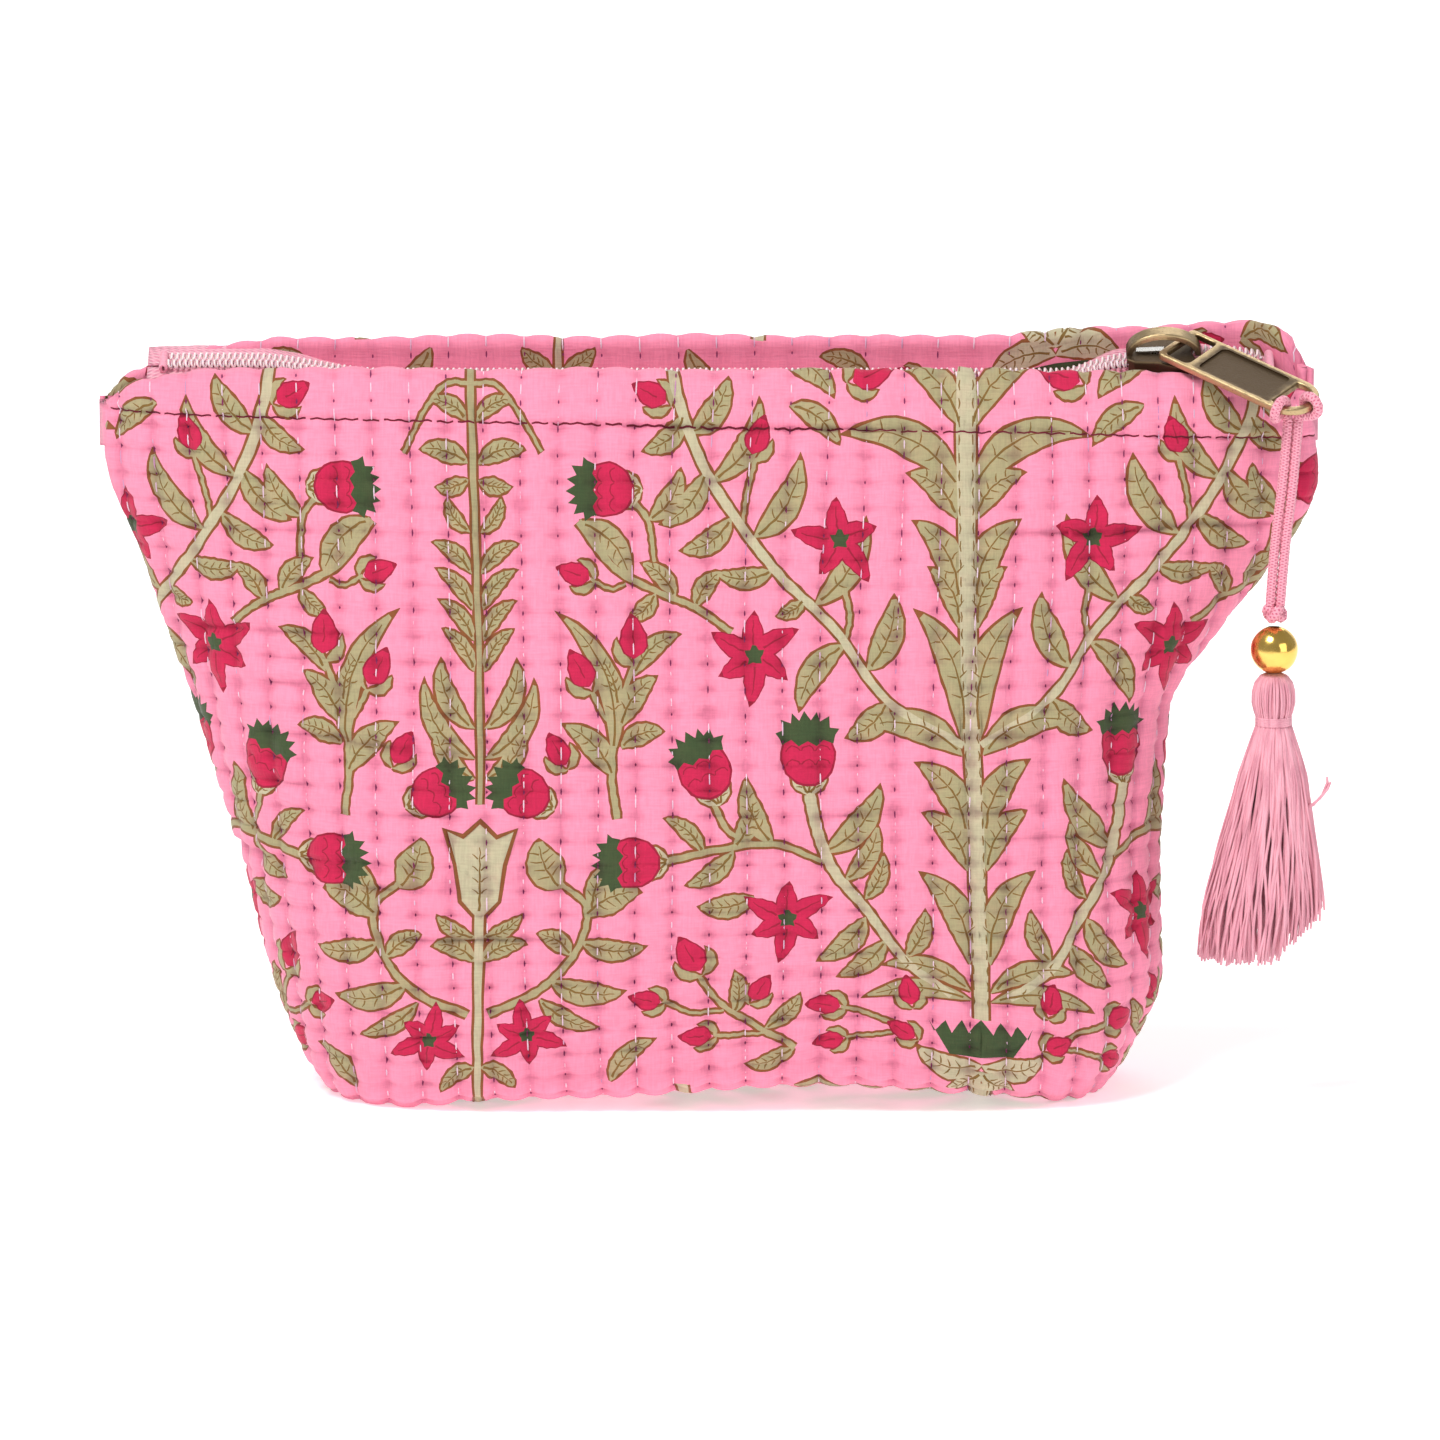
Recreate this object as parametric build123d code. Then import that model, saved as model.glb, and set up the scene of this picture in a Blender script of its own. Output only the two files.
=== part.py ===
"""Quilted cotton makeup bag with boxed lower corners, a zipped mouth and a tassel on the slider's pull.

Millimetres. X runs along the mouth, -Y is the front, +Z is up. The origin is on the table under the
middle of the base. Each function makes one piece, or one pair of like pieces, and returns its solids.
"""
import math
import os

from build123d import *

# ---- driving dimensions -------------------------------------------------------------------------
HEM_Z = 135.5            # the cloth is turned in over the rim and topstitched down here
LEAN_Y = -2.0            # the mouth stands this far forward of the base's middle
SHIFT_Y = 0.3            # puts the outer shape's box over the origin

# The mouth's rim, x and z. The back rim stands higher, and rises beside the open end.
RIM_FRONT = [(-119.0, 140.5), (-108.0, 145.0), (104.0, 145.0), (119.0, 139.5)]
RIM_BACK = [(-119.0, 142.0), (-106.0, 149.5), (60.0, 150.0), (98.0, 153.5), (111.0, 152.5), (119.0, 142.0)]

CLOTH = 0.7              # printed cotton
WADDING = 1.5            # cotton wadding inside the quilting
LINING = 0.5             # white cotton backing
END_FACTOR = 1.2         # the layers are a little thicker at the side seams, where they are folded
SEAM_WIDTH = 8.0         # bound seam allowance inside
SEAM_HALF = 1.6          # half of its thickness

# Outer shape by height: z, left end, right end, half depth, flatness of the walls, sharpness of the
# ends. The right side is pinched in at mid height and flares into a flat ear under the hem.
LEVELS = [
    (0.0, -76.0, 77.0, 33.0, 6.0, 2.6),
    (5.0, -81.5, 83.0, 37.0, 6.0, 2.5),
    (20.0, -87.0, 90.0, 38.0, 5.5, 2.2),
    (50.0, -95.5, 90.0, 35.5, 4.6, 1.9),
    (80.0, -105.0, 92.5, 31.0, 3.8, 1.6),
    (112.0, -116.5, 117.5, 23.5, 3.0, 1.35),
    (122.0, -121.0, 122.5, 19.5, 3.0, 1.35),
    (130.0, -122.5, 121.5, 16.0, 3.4, 1.45),
    (HEM_Z, -121.5, 120.5, 13.0, 4.5, 1.7),
    (143.0, -121.0, 119.5, 10.3, 8.0, 1.9),
    (156.0, -117.0, 116.0, 9.5, 8.0, 1.9),
]

CHAIN_Y, CHAIN_Z = LEAN_Y, 146.6     # axis of the zip's chain
ROLL = 26.0                          # the chain and the slider are turned this far to the front, degrees
SLIDER_X = 90.0                      # where the slider stands: almost closed
CHAIN_LEFT, CHAIN_RIGHT = -109.0, 110.0
COIL_W, COIL_H = 2.2, 1.9
COIL_LOW = -0.65                     # underside of the coils, from the chain's axis
COIL_GAP = 0.1                       # half of the play between the two coils
TAPE_T = 0.5
TAPE_FLAT = 6.0                      # the tapes lie in the slider's plane this far from the chain
FRONT_FALL, BACK_FALL = -2.0, 14.0   # past that the tapes fall away by these angles, degrees

SLIDER_L = 14.2
WING_IN, WING_T = 1.6, 1.0           # height of a wing's inner face above the axis, and its thickness
TAIL_HALF, THROAT_HALF = 3.9, 5.9    # half widths of the slider, closed end and open end
FLANGE_T, FLANGE_LOW = 0.8, -0.35    # turned-in edges of the upper wing
CROWN_W, CROWN_T = 3.2, 1.2
CROWN_A, CROWN_H = 7.5, 5.0          # half length and height of the crown's arch

TAB_L, TAB_W, TAB_T = 34.3, 11.5, 1.5
TAB_BAR = 0.75                       # radius of the tab's hinge bar, half the width of its nose
TAB_YAW = 40.5                       # the loose tab is turned this far to the front, degrees
HINGE_X, HINGE_H = 3.0, 4.15         # the tab's pivot in the slider's frame
WINDOW_L, WINDOW_W = 5.6, 9.4
NOSE_R = TAB_W / 2 - TAB_BAR         # middle line of the tab's round nose
NOSE_AT = TAB_L - TAB_W / 2          # and its centre, from the pivot

CORD_D = 1.9
TURN_R = 2.0                         # middle of the cord's two turns round the nose
TURN_ANGLES = (-78.0, 4.0)           # where the turns sit on the nose, from its tip, degrees
TASSEL_X, TASSEL_Y = 111.9, -23.2
KNOT_Z, KNOT_R = 98.6, 2.3
BEAD_Z, BEAD_R, BEAD_HOLE = 91.8, 4.75, 1.2
HEAD_R, HEAD_TOP, NECK_Z = 4.1, 87.0, 77.5
SKIRT_LOW = 29.0


# ---- helpers ------------------------------------------------------------------------------------
def level_at(z):
    """The outer shape's numbers at a height, between the two levels beside it."""
    for low, high in zip(LEVELS, LEVELS[1:]):
        if z <= high[0]:
            t = (z - low[0]) / (high[0] - low[0])
            return [a + t * (b - a) for a, b in zip(low, high)]
    return list(LEVELS[-1])


def lean_at(z):
    """How far the section at a height stands forward."""
    return LEAN_Y * min(1.0, z / HEM_Z)


def half_curve(z, inset, side):
    """One wall of the section from its left end to its right end; side is -1 at the front, 1 at the back."""
    _, left, right, depth, flat, sharp = level_at(z)
    left, right, depth = left + END_FACTOR * inset, right - END_FACTOR * inset, depth - inset
    middle, half = (left + right) / 2, (right - left) / 2
    points = []
    for share in (-1, -0.97, -0.88, -0.72, -0.48, -0.2, 0.2, 0.48, 0.72, 0.88, 0.97, 1):
        y = depth * (1 - abs(share) ** flat) ** (1 / sharp)
        points.append(Vector(middle + half * share, lean_at(z) + SHIFT_Y + side * y, z))
    return Spline(*points)


def heights(low, high):
    """The levels to loft through between two heights."""
    return [low] + [row[0] for row in LEVELS if low + 0.4 < row[0] < high - 0.4] + [high]


def body_of(inset, low, high, sides=(-1, 1)):
    """The bag's outer shape taken in by inset: the whole of it, or its front or back half."""
    sections = []
    for z in heights(low, high):
        edges = [half_curve(z, inset, side) for side in sides]
        if len(sides) == 1:
            edges.append(Line(edges[0] @ 1, edges[0] @ 0))
        sections.append(Face(Wire(edges)))
    return loft(sections, ruled=True)


def rim_cut(rim):
    """What is cut off above a rim, which is level in the middle and falls away at both ends."""
    far, top = 140.0, 180.0
    outline = [(-far, rim[0][1])] + rim + [(far, rim[-1][1]), (far, top), (-far, top)]
    return extrude(Plane.XZ * make_face(Polyline(*outline, close=True)), 60, both=True)


def in_slider_frame():
    """The slider's frame: x along the chain, y across the tape to the back, z out of its crown."""
    roll = math.radians(ROLL)
    return Plane(
        origin=(SLIDER_X, CHAIN_Y, CHAIN_Z),
        x_dir=(1, 0, 0),
        z_dir=(0, -math.sin(roll), math.cos(roll)),
    )


def in_tab_frame():
    """The tab's frame: x along the tab from its pivot, y across it, z out of its face."""
    return Plane(in_slider_frame().location * Pos(HINGE_X, 0, HINGE_H) * Rot(0, 0, -TAB_YAW))


def cord_tube(points, diameter):
    """A tube along straight runs joined by tangent arcs, each as large as its two runs allow."""
    points = [Vector(*p) for p in points]
    radii = []
    for before, at, after in zip(points, points[1:], points[2:]):
        turn = math.radians((at - before).get_angle(after - at))
        shorter = min((at - before).length, (after - at).length)
        radii.append(0.45 * shorter / math.tan(turn / 2))
    print("cord radii", [round(r, 1) for r in radii])
    path = FilletPolyline(*points, radius=radii) if radii else Line(*points)
    start = Plane(origin=path @ 0, z_dir=path % 0)
    return sweep(start * Circle(diameter / 2), path=path)


# ---- the bag ------------------------------------------------------------------------------------
def panels():
    """Each panel's three layers: printed cloth turned in over the rim, wadding, white lining."""
    deep = CLOTH + WADDING
    facing = deep + CLOTH
    over = LEVELS[-1][0]
    core = body_of(CLOTH, CLOTH, over)
    hollow = body_of(deep, deep, over)
    mouth = body_of(facing, HEM_Z - 3, over)
    room = body_of(deep + LINING, deep + LINING, over)
    made = {}
    for name, side, rim in (("front", -1, RIM_FRONT), ("back", 1, RIM_BACK)):
        above = rim_cut(rim)
        above_wadding = Pos(0, 0, -CLOTH) * above
        shell = body_of(0, 0, over, (side,)) - above - (core - above_wadding)
        turned_in = body_of(deep, HEM_Z, over, (side,)) - above_wadding - mouth
        made[name + "_panel"] = (shell - mouth) + turned_in
        made[name + "_wadding"] = body_of(CLOTH, CLOTH, over, (side,)) - above_wadding - hollow
        made[name + "_lining"] = body_of(deep, deep, HEM_Z, (side,)) - room
    return made


def seam_bindings():
    """White cotton tape folded round the seam allowances: two sides, the base and two boxed corners."""
    skin = CLOTH + WADDING + LINING
    low, top = skin, HEM_Z - 2
    corner_z = low + 3.2
    room = body_of(skin, low, top)
    inner = body_of(skin + SEAM_WIDTH, low + SEAM_WIDTH, top + 1)
    slab = Pos(0, LEAN_Y / 2 + SHIFT_Y, 70) * Box(260, 2 * SEAM_HALF, 200)
    strip = (room & slab) - inner
    base_half, side_z = 62.0, low + SEAM_WIDTH + 4
    made = {"base_seam_binding": strip & (Pos(0, 0, side_z / 2) * Box(2 * base_half, 20, side_z))}
    for name, way in (("left", -1), ("right", 1)):
        edge = LEVELS[0][1] if way < 0 else LEVELS[0][2]
        made[name + "_seam_binding"] = strip & (
            Pos(way * 75, 0, corner_z + 0.2 + 100) * Box(100, 20, 200)
        ) & (Pos(way * 114, 0, 100) * Box(100, 20, 200))
        made[name + "_corner_binding"] = room & (
            Pos(edge - way * (SEAM_WIDTH / 2 + 3), 0, (low + corner_z) / 2)
            * Box(SEAM_WIDTH, 52, corner_z - low)
        )
    return made


def care_label():
    """A plain white satin label, sewn into the right seam just under the mouth."""
    return Pos(98.0, 3.2, 130.5) * Box(13.0, 0.3, 21.0)


# ---- the zip ------------------------------------------------------------------------------------
def coil_path(side):
    """Middle line of one coil in the slider's plane: closed to the slider, then round the open end."""
    closed = side * (COIL_GAP + COIL_W / 2)
    left, right = CHAIN_LEFT - SLIDER_X, CHAIN_RIGHT - SLIDER_X
    points = [
        (left, closed),
        (-1.5, closed),
        (4.0, side * 2.9),
        (8.0, side * 4.2),
        (12.5, side * 4.2),
        (right, side * 2.2),
    ]
    return FilletPolyline(*points, radius=2.2)


def coils():
    """The two nylon coils, side by side where the zip is closed."""
    made = {}
    for name, side in (("front", -1), ("back", 1)):
        flat = trace(coil_path(side), COIL_W)
        made["zip_coil_" + name] = in_slider_frame() * Pos(0, 0, COIL_LOW) * extrude(flat, COIL_H)
    return made


def open_end():
    """The gap between the two tapes, from the slider to the end of the chain."""
    end = CHAIN_RIGHT - SLIDER_X - 1.0
    corners = [(-1.5, 0.6), (4.0, 2.1), (8.0, 3.4), (12.5, 3.4), (end, 1.0)]
    corners += [(x, -y) for x, y in reversed(corners)]
    return in_slider_frame() * extrude(make_face(Polyline(*corners, close=True)), 3, both=True)


def tapes():
    """The two woven tapes, from under the coils to the turned-in cloth, which they meet."""
    frame = in_slider_frame()
    reach = body_of(2 * CLOTH + WADDING, HEM_Z - 2, LEVELS[-1][0])
    length = CHAIN_RIGHT - CHAIN_LEFT + 2.0
    middle = (CHAIN_RIGHT + CHAIN_LEFT) / 2 - SLIDER_X
    inner = COIL_GAP + 0.5
    level = COIL_LOW - TAPE_T / 2 - 0.04
    out = 10.0
    made = {}
    for name, side, fall in (("front", -1, FRONT_FALL), ("back", 1, BACK_FALL)):
        near = Pos(middle, side * (inner + TAPE_FLAT) / 2, level) * Box(length, TAPE_FLAT - inner, TAPE_T)
        bend = frame.from_local_coords(Vector(middle, side * TAPE_FLAT, level))
        far = Pos(bend) * Rot(-side * fall, 0, 0) * Pos(0, side * out, 0) * Box(length, 2 * out, TAPE_T)
        made["zip_tape_" + name] = (((frame * near) + far) & reach) - open_end()
    return made


def end_tacks():
    """A bar of thread across each end of the chain, which stops the slider."""
    made = {}
    for name, x in (("left", CHAIN_LEFT - 0.7), ("right", CHAIN_RIGHT + 1.5)):
        bar = Pos(x - SLIDER_X, 0, COIL_LOW + 0.8) * Box(1.2, 6.0, 1.6)
        made["zip_end_tack_" + name] = in_slider_frame() * bar
    return made


# ---- the slider ---------------------------------------------------------------------------------
def wing_outline(grow=0.0):
    """Outline of one wing: narrow at the closed end, wide and two-lobed at the open end."""
    half = SLIDER_L / 2
    tail, throat = TAIL_HALF + grow, THROAT_HALF + grow
    side = [(-half, tail - 1), (-half + 1.5, tail), (-0.8, tail + 0.3), (3.2, throat),
            (half - 1.4, throat), (half, throat - 2.0)]
    mirrored = [(x, -y) for x, y in reversed(side)]
    return make_face(Polyline(*side, (half - 1.2, 0), *mirrored, close=True))


def slider_body():
    """Two wings with turned-in edges, joined by the post that parts the coils."""
    upper = Pos(0, 0, WING_IN) * extrude(wing_outline(), WING_T)
    upper = fillet(upper.faces().sort_by(Axis.Z)[-1].edges(), 0.4)
    flange = extrude(wing_outline(), WING_IN - FLANGE_LOW) - extrude(wing_outline(-FLANGE_T), 5)
    flange -= Box(40, 2 * (TAIL_HALF - FLANGE_T), 20)
    flange -= Pos(SLIDER_L / 2 + 1, 0, 0) * Box(6, 40, 20)
    upper += Pos(0, 0, FLANGE_LOW) * flange
    upper -= Pos(-1.2, 0, WING_IN) * Box(1.4, 1.8, 5)
    lower = Pos(0, 0, -WING_IN - WING_T) * extrude(wing_outline(), WING_T)
    lower = fillet(lower.faces().sort_by(Axis.Z)[0].edges(), 0.4)
    post = make_face(Polyline((1.6, 0), (3.4, 1.25), (5.4, 0.9), (5.4, -0.9), (3.4, -1.25), close=True))
    post = Pos(0, 0, -WING_IN - 0.1) * extrude(post, 2 * WING_IN + 0.2)
    return in_slider_frame() * (upper + lower + post)


def slider_crown():
    """The arched cap that the tab hangs on; it is crimped down at both ends."""
    foot = WING_IN + WING_T
    outer = Ellipse(CROWN_A, CROWN_H) & (Pos(0, CROWN_H / 2) * Rectangle(2 * CROWN_A, CROWN_H))
    inner = Ellipse(CROWN_A - CROWN_T, CROWN_H - CROWN_T)
    arch = extrude(Plane.XZ * (outer - inner), CROWN_W / 2, both=True)
    top = arch.edges().filter_by(GeomType.ELLIPSE).group_by(Axis.Z)[-1]
    arch = fillet(top, 0.35)
    return in_slider_frame() * (Pos(0.3, 0, foot) * arch)


def slider_lock_spring():
    """The leaf under the crown whose tooth drops through the upper wing to lock the chain."""
    foot = WING_IN + WING_T
    profile = Polyline((-5.2, foot + 0.02), (0.3, foot + 0.3), (0.3, foot + 0.65), (-0.8, foot + 0.6),
                       (-5.2, foot + 0.4), close=True)
    leaf = extrude(Plane.XZ * make_face(profile), 0.7, both=True)
    tooth = Pos(-1.2, 0, foot - 0.2) * Box(0.5, 1.2, 1.2)
    return in_slider_frame() * (leaf + tooth)


def pull_tab():
    """Flat brass tab: a window for the crown, a sunk face, and a round nose that holds the cord."""
    plate = Pos((NOSE_AT - TAB_BAR) / 2, 0) * Rectangle(NOSE_AT + TAB_BAR, TAB_W)
    plate += Pos(NOSE_AT, 0) * Circle(TAB_W / 2)
    tab = extrude(plate, TAB_T / 2, both=True)
    tab = fillet(tab.edges().filter_by(Axis.Z), 1.2)
    window = extrude(Pos(TAB_BAR + WINDOW_L / 2, 0) * RectangleRounded(WINDOW_L, WINDOW_W, 1.0), 3, both=True)
    slot = Circle(NOSE_R - TAB_BAR) - Pos(-6.2, 0) * Rectangle(10, 20)
    slot = extrude(Pos(NOSE_AT, 0) * slot, 3, both=True)
    tab = tab - window - slot
    rounded = tab.edges().group_by(Axis.Z)
    tab = fillet(rounded[0] + rounded[-1], 0.4)
    sunk = extrude(Pos(17.0, 0) * RectangleRounded(17.0, TAB_W - 2.8, 1.2), 2)
    return in_tab_frame() * (tab - Pos(0, 0, TAB_T / 2 - 0.35) * sunk)


# ---- the tassel ---------------------------------------------------------------------------------
def on_nose(angle):
    """A frame on the middle line of the tab's nose, its z along the bar there."""
    turn = math.radians(angle)
    at = Vector(NOSE_AT + NOSE_R * math.cos(turn), NOSE_R * math.sin(turn), 0)
    along = Vector(-math.sin(turn), math.cos(turn), 0)
    return Plane(in_tab_frame().location * Plane(origin=at, x_dir=(0, 0, 1), z_dir=along).location)


def cord_hitch():
    """The cord's two turns round the tab's nose."""
    turns = [on_nose(angle) * Torus(TURN_R, CORD_D / 2) for angle in TURN_ANGLES]
    return Compound(children=[turn.solid() for turn in turns])


def strand_route(side):
    """One hanging strand of the cord, from behind the nose between the turns down to the knot."""
    top = on_nose(sum(TURN_ANGLES) / 2).origin
    return [
        (top.X - 0.6 + side * 0.98, top.Y + 2.2, top.Z - 2.6),
        (top.X - 1.3 + side * 1.02, top.Y + 2.0, top.Z - 14.0),
        (TASSEL_X + 0.9 + side * 1.05, TASSEL_Y + 0.2, KNOT_Z + 15.0),
        (TASSEL_X + 0.1 + side * 0.98, TASSEL_Y, KNOT_Z + 2.1),
    ]


def strands():
    return {
        "cord_strand_" + name: cord_tube(strand_route(side), CORD_D)
        for name, side in (("left", -1), ("right", 1))
    }


def tassel():
    """Knot, bead, wound head, neck binding and skirt, one under another."""
    at = Pos(TASSEL_X, TASSEL_Y, 0)
    knot = at * Pos(0, 0, KNOT_Z) * Sphere(KNOT_R)
    knot &= at * Pos(0, 0, KNOT_Z) * Box(8, 8, 4.0)
    bead = at * Pos(0, 0, BEAD_Z) * (Sphere(BEAD_R) - Cylinder(BEAD_HOLE, 12))
    middle_z = (HEAD_TOP + NECK_Z) / 2
    head = Polyline((0, NECK_Z + 0.9), (2.6, NECK_Z + 0.9)) + Spline(
        (2.6, NECK_Z + 0.9), (HEAD_R, middle_z + 0.6), (2.2, HEAD_TOP)
    ) + Polyline((2.2, HEAD_TOP), (0, HEAD_TOP), (0, NECK_Z + 0.9))
    head = at * revolve(Plane.XZ * make_face(head), Axis.Z)
    neck = at * Pos(0, 0, NECK_Z) * Cylinder(3.3, 1.7)
    shapes = []
    for z, x, half_x, half_y in (
        (NECK_Z - 0.9, 0.0, 3.4, 3.2),
        (66.0, -0.2, 7.4, 6.2),
        (50.0, -0.9, 10.6, 8.0),
        (39.0, -1.5, 12.2, 8.6),
        (SKIRT_LOW, -2.4, 11.8, 8.2),
    ):
        shapes.append(Plane(origin=(TASSEL_X + x, TASSEL_Y, z)) * Ellipse(half_x, half_y))
    skirt = loft([s.face() for s in shapes], ruled=True)
    return {
        "cord_knot": knot,
        "gold_bead": bead,
        "tassel_head": head,
        "tassel_neck_binding": neck,
        "tassel_skirt": skirt,
    }


def main():
    os.makedirs("parts", exist_ok=True)
    made = {}
    made.update(panels())
    made.update(seam_bindings())
    made["care_label"] = care_label()
    made.update(coils())
    made.update(tapes())
    made.update(end_tacks())
    made["slider_body"] = slider_body()
    made["slider_crown"] = slider_crown()
    made["slider_lock_spring"] = slider_lock_spring()
    made["pull_tab"] = pull_tab()
    made["cord_hitch"] = cord_hitch()
    made.update(strands())
    made.update(tassel())
    for name, shape in made.items():
        export_step(shape, f"parts/{name}.step")
    tab = in_tab_frame()
    print("tab pivot", tab.origin, "along", tab.x_dir, "across", tab.y_dir)
    print("nose", on_nose(sum(TURN_ANGLES) / 2).origin)


main()
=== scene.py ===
import math
import random

import bpy
import numpy as np
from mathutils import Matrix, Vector
from mathutils.geometry import delaunay_2d_cdt


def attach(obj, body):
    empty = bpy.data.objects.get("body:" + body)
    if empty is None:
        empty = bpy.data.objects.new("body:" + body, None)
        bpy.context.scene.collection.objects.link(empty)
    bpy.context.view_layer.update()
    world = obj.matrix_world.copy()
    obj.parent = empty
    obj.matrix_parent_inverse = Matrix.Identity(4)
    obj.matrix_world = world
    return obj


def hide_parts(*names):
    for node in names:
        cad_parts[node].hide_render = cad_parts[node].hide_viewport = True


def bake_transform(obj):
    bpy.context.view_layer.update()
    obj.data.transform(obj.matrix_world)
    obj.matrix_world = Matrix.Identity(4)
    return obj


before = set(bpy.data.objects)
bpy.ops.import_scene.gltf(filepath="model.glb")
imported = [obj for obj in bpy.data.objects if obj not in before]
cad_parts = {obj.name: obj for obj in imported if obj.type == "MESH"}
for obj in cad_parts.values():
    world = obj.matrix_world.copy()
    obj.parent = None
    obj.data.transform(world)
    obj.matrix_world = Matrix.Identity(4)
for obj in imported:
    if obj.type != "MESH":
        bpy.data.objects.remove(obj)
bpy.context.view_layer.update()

MM = 0.001

# ---- the view ----------------------------------------------------------------------------------
# The bag stands on a pale table under soft daylight, seen from the front and a little above,
# through a long lens so that its upright lines stay upright.
VIEW_RISE = math.radians(10)
VIEW_FAR = 2.016
VIEW_AIM = Vector((0.0016, 0.0, 0.0735))

bpy.ops.object.camera_add(
    location=VIEW_AIM + VIEW_FAR * Vector((0, -math.cos(VIEW_RISE), math.sin(VIEW_RISE))),
    rotation=(math.pi / 2 - VIEW_RISE, 0, 0),
)
camera = bpy.context.object
camera.data.lens = 250
camera.data.sensor_width = 36
camera.data.clip_end = 20
camera.data.dof.use_dof = False
bpy.context.scene.camera = camera
bpy.context.scene.view_settings.view_transform = "Standard"

# ---- hanging cord ------------------------------------------------------------------------------
# One braided satin cord, folded in half and looped on the tab's nose. Its two limp strands hang
# side by side from the nose to the knot above the bead.
CORD_THICK = 1.9
BRAID_STARTS, BRAID_PITCH = 4, 0.0024
BRAID_SIDES = 24
BRAID_STEP = 0.00014


def new_piece(name, points, faces):
    """A smooth piece from its points, in metres, and its faces."""
    mesh = bpy.data.meshes.new(name)
    mesh.from_pydata(points, [], faces)
    mesh.polygons.foreach_set("use_smooth", [True] * len(mesh.polygons))
    piece = bpy.data.objects.new(name, mesh)
    bpy.context.collection.objects.link(piece)
    return piece


def grid_mesh(name, rows, closed_across=False, closed_along=False, capped=False, uvs=None):
    """A skin over rows of points in metres, with the rows' own map when one is given."""
    rows = np.asarray(rows, dtype=float)
    along, across = rows.shape[:2]
    faces = []
    for i in range(along if closed_along else along - 1):
        for j in range(across if closed_across else across - 1):
            a, b = (i + 1) % along, (j + 1) % across
            faces.append((i * across + j, i * across + b, a * across + b, a * across + j))
    if capped:
        faces.append(tuple(range(across))[::-1])
        faces.append(tuple((along - 1) * across + j for j in range(across)))
    piece = new_piece(name, rows.reshape(-1, 3).tolist(), faces)
    if uvs is not None:
        spread = piece.data.uv_layers.new(name="run")
        flat = np.asarray(uvs, dtype=float).reshape(-1, 2)
        for loop in piece.data.loops:
            spread.data[loop.index].uv = flat[loop.vertex_index]
    return piece


def soft_line(points, order=3, steps=16):
    """The smooth line that a limp cord takes through a few points, in metres."""
    curve = bpy.data.curves.new("line", "CURVE")
    curve.dimensions = "3D"
    curve.resolution_u = steps
    spline = curve.splines.new("NURBS")
    spline.points.add(len(points) - 1)
    for knot, point in zip(spline.points, points):
        knot.co = (*point, 1)
    spline.order_u = order
    spline.use_endpoint_u = True
    holder = bpy.data.objects.new("line", curve)
    mesh = bpy.data.meshes.new_from_object(holder)
    line = np.array([vert.co[:] for vert in mesh.vertices])
    bpy.data.objects.remove(holder)
    bpy.data.curves.remove(curve)
    bpy.data.meshes.remove(mesh)
    return line


def even_line(line, step):
    """The same line with its points a step apart."""
    run = np.concatenate([[0], np.cumsum(np.linalg.norm(np.diff(line, axis=0), axis=1))])
    at = np.linspace(0, run[-1], max(3, int(round(run[-1] / step)) + 1))
    return np.stack([np.interp(at, run, line[:, k]) for k in range(3)], axis=1), at


def rings_on(line, sides, radius):
    """Rings of points round a line; radius is a number, or takes the angle and the length run."""
    line, run = line
    ahead = np.gradient(line, axis=0)
    ahead /= np.linalg.norm(ahead, axis=1)[:, None]
    side = np.cross(ahead[0], (0.31, 0.83, 0.46))
    turn = np.linspace(0, 2 * math.pi, sides, endpoint=False)
    rows = []
    for point, way, far in zip(line, ahead, run):
        side = side - way * side.dot(way)
        side /= np.linalg.norm(side)
        other = np.cross(way, side)
        size = radius(turn, far) if callable(radius) else radius * np.ones(sides)
        ring = np.cos(turn)[:, None] * side + np.sin(turn)[:, None] * other
        rows.append(point + size[:, None] * ring)
    return np.array(rows)


def braided(thick, lift=0.15):
    """Radius of a braid: two sets of yarns that wind against each other and pass over and under."""
    def radius(turn, far):
        wind = 2 * math.pi * BRAID_STARTS * far / BRAID_PITCH / 2
        right = np.cos(BRAID_STARTS * turn + wind)
        left = np.cos(BRAID_STARTS * turn - wind)
        return thick / 2 * (1 - lift / 2 + lift * np.maximum(right, left))
    return radius


def braid(name, points, thick=CORD_THICK * MM, steps=24):
    """A length of the braided cord along the soft line through a few points."""
    line = even_line(soft_line(points, steps=steps), BRAID_STEP)
    rows = rings_on(line, BRAID_SIDES, braided(thick))
    across = np.linspace(0, 1, BRAID_SIDES, endpoint=False)
    uvs = np.stack([np.broadcast_to(across, rows.shape[:2]),
                    np.broadcast_to(line[1][:, None], rows.shape[:2])], axis=2)
    piece = grid_mesh(name, rows, closed_across=True, capped=True, uvs=uvs)
    return piece, line[0]


def strand_points(side):
    """The route of one strand, left or right of the other, in metres."""
    return [Vector(point) * MM for point in (
        (115.19 + 0.98 * side, -22.67, 137.46), (114.49 + 1.02 * side, -22.87, 126.06),
        (112.8 + 1.05 * side, -23.0, 113.6), (112.0 + 0.98 * side, -23.2, 100.7))]


class Tone:
    """One value or colour in a finish; sums on it add the nodes that work them out."""

    def __init__(self, socket):
        self.socket = socket

    def sum(self, operation, one, two):
        tree = self.socket.id_data
        node = tree.nodes.new("ShaderNodeMath")
        node.operation = operation
        for place, value in zip(node.inputs, (one, two)):
            if isinstance(value, Tone):
                tree.links.new(value.socket, place)
            else:
                place.default_value = value
        return Tone(node.outputs[0])

    def __add__(self, other):
        return self.sum("ADD", self, other)

    def __sub__(self, other):
        return self.sum("SUBTRACT", self, other)

    def __mul__(self, other):
        return self.sum("MULTIPLY", self, other)


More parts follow.
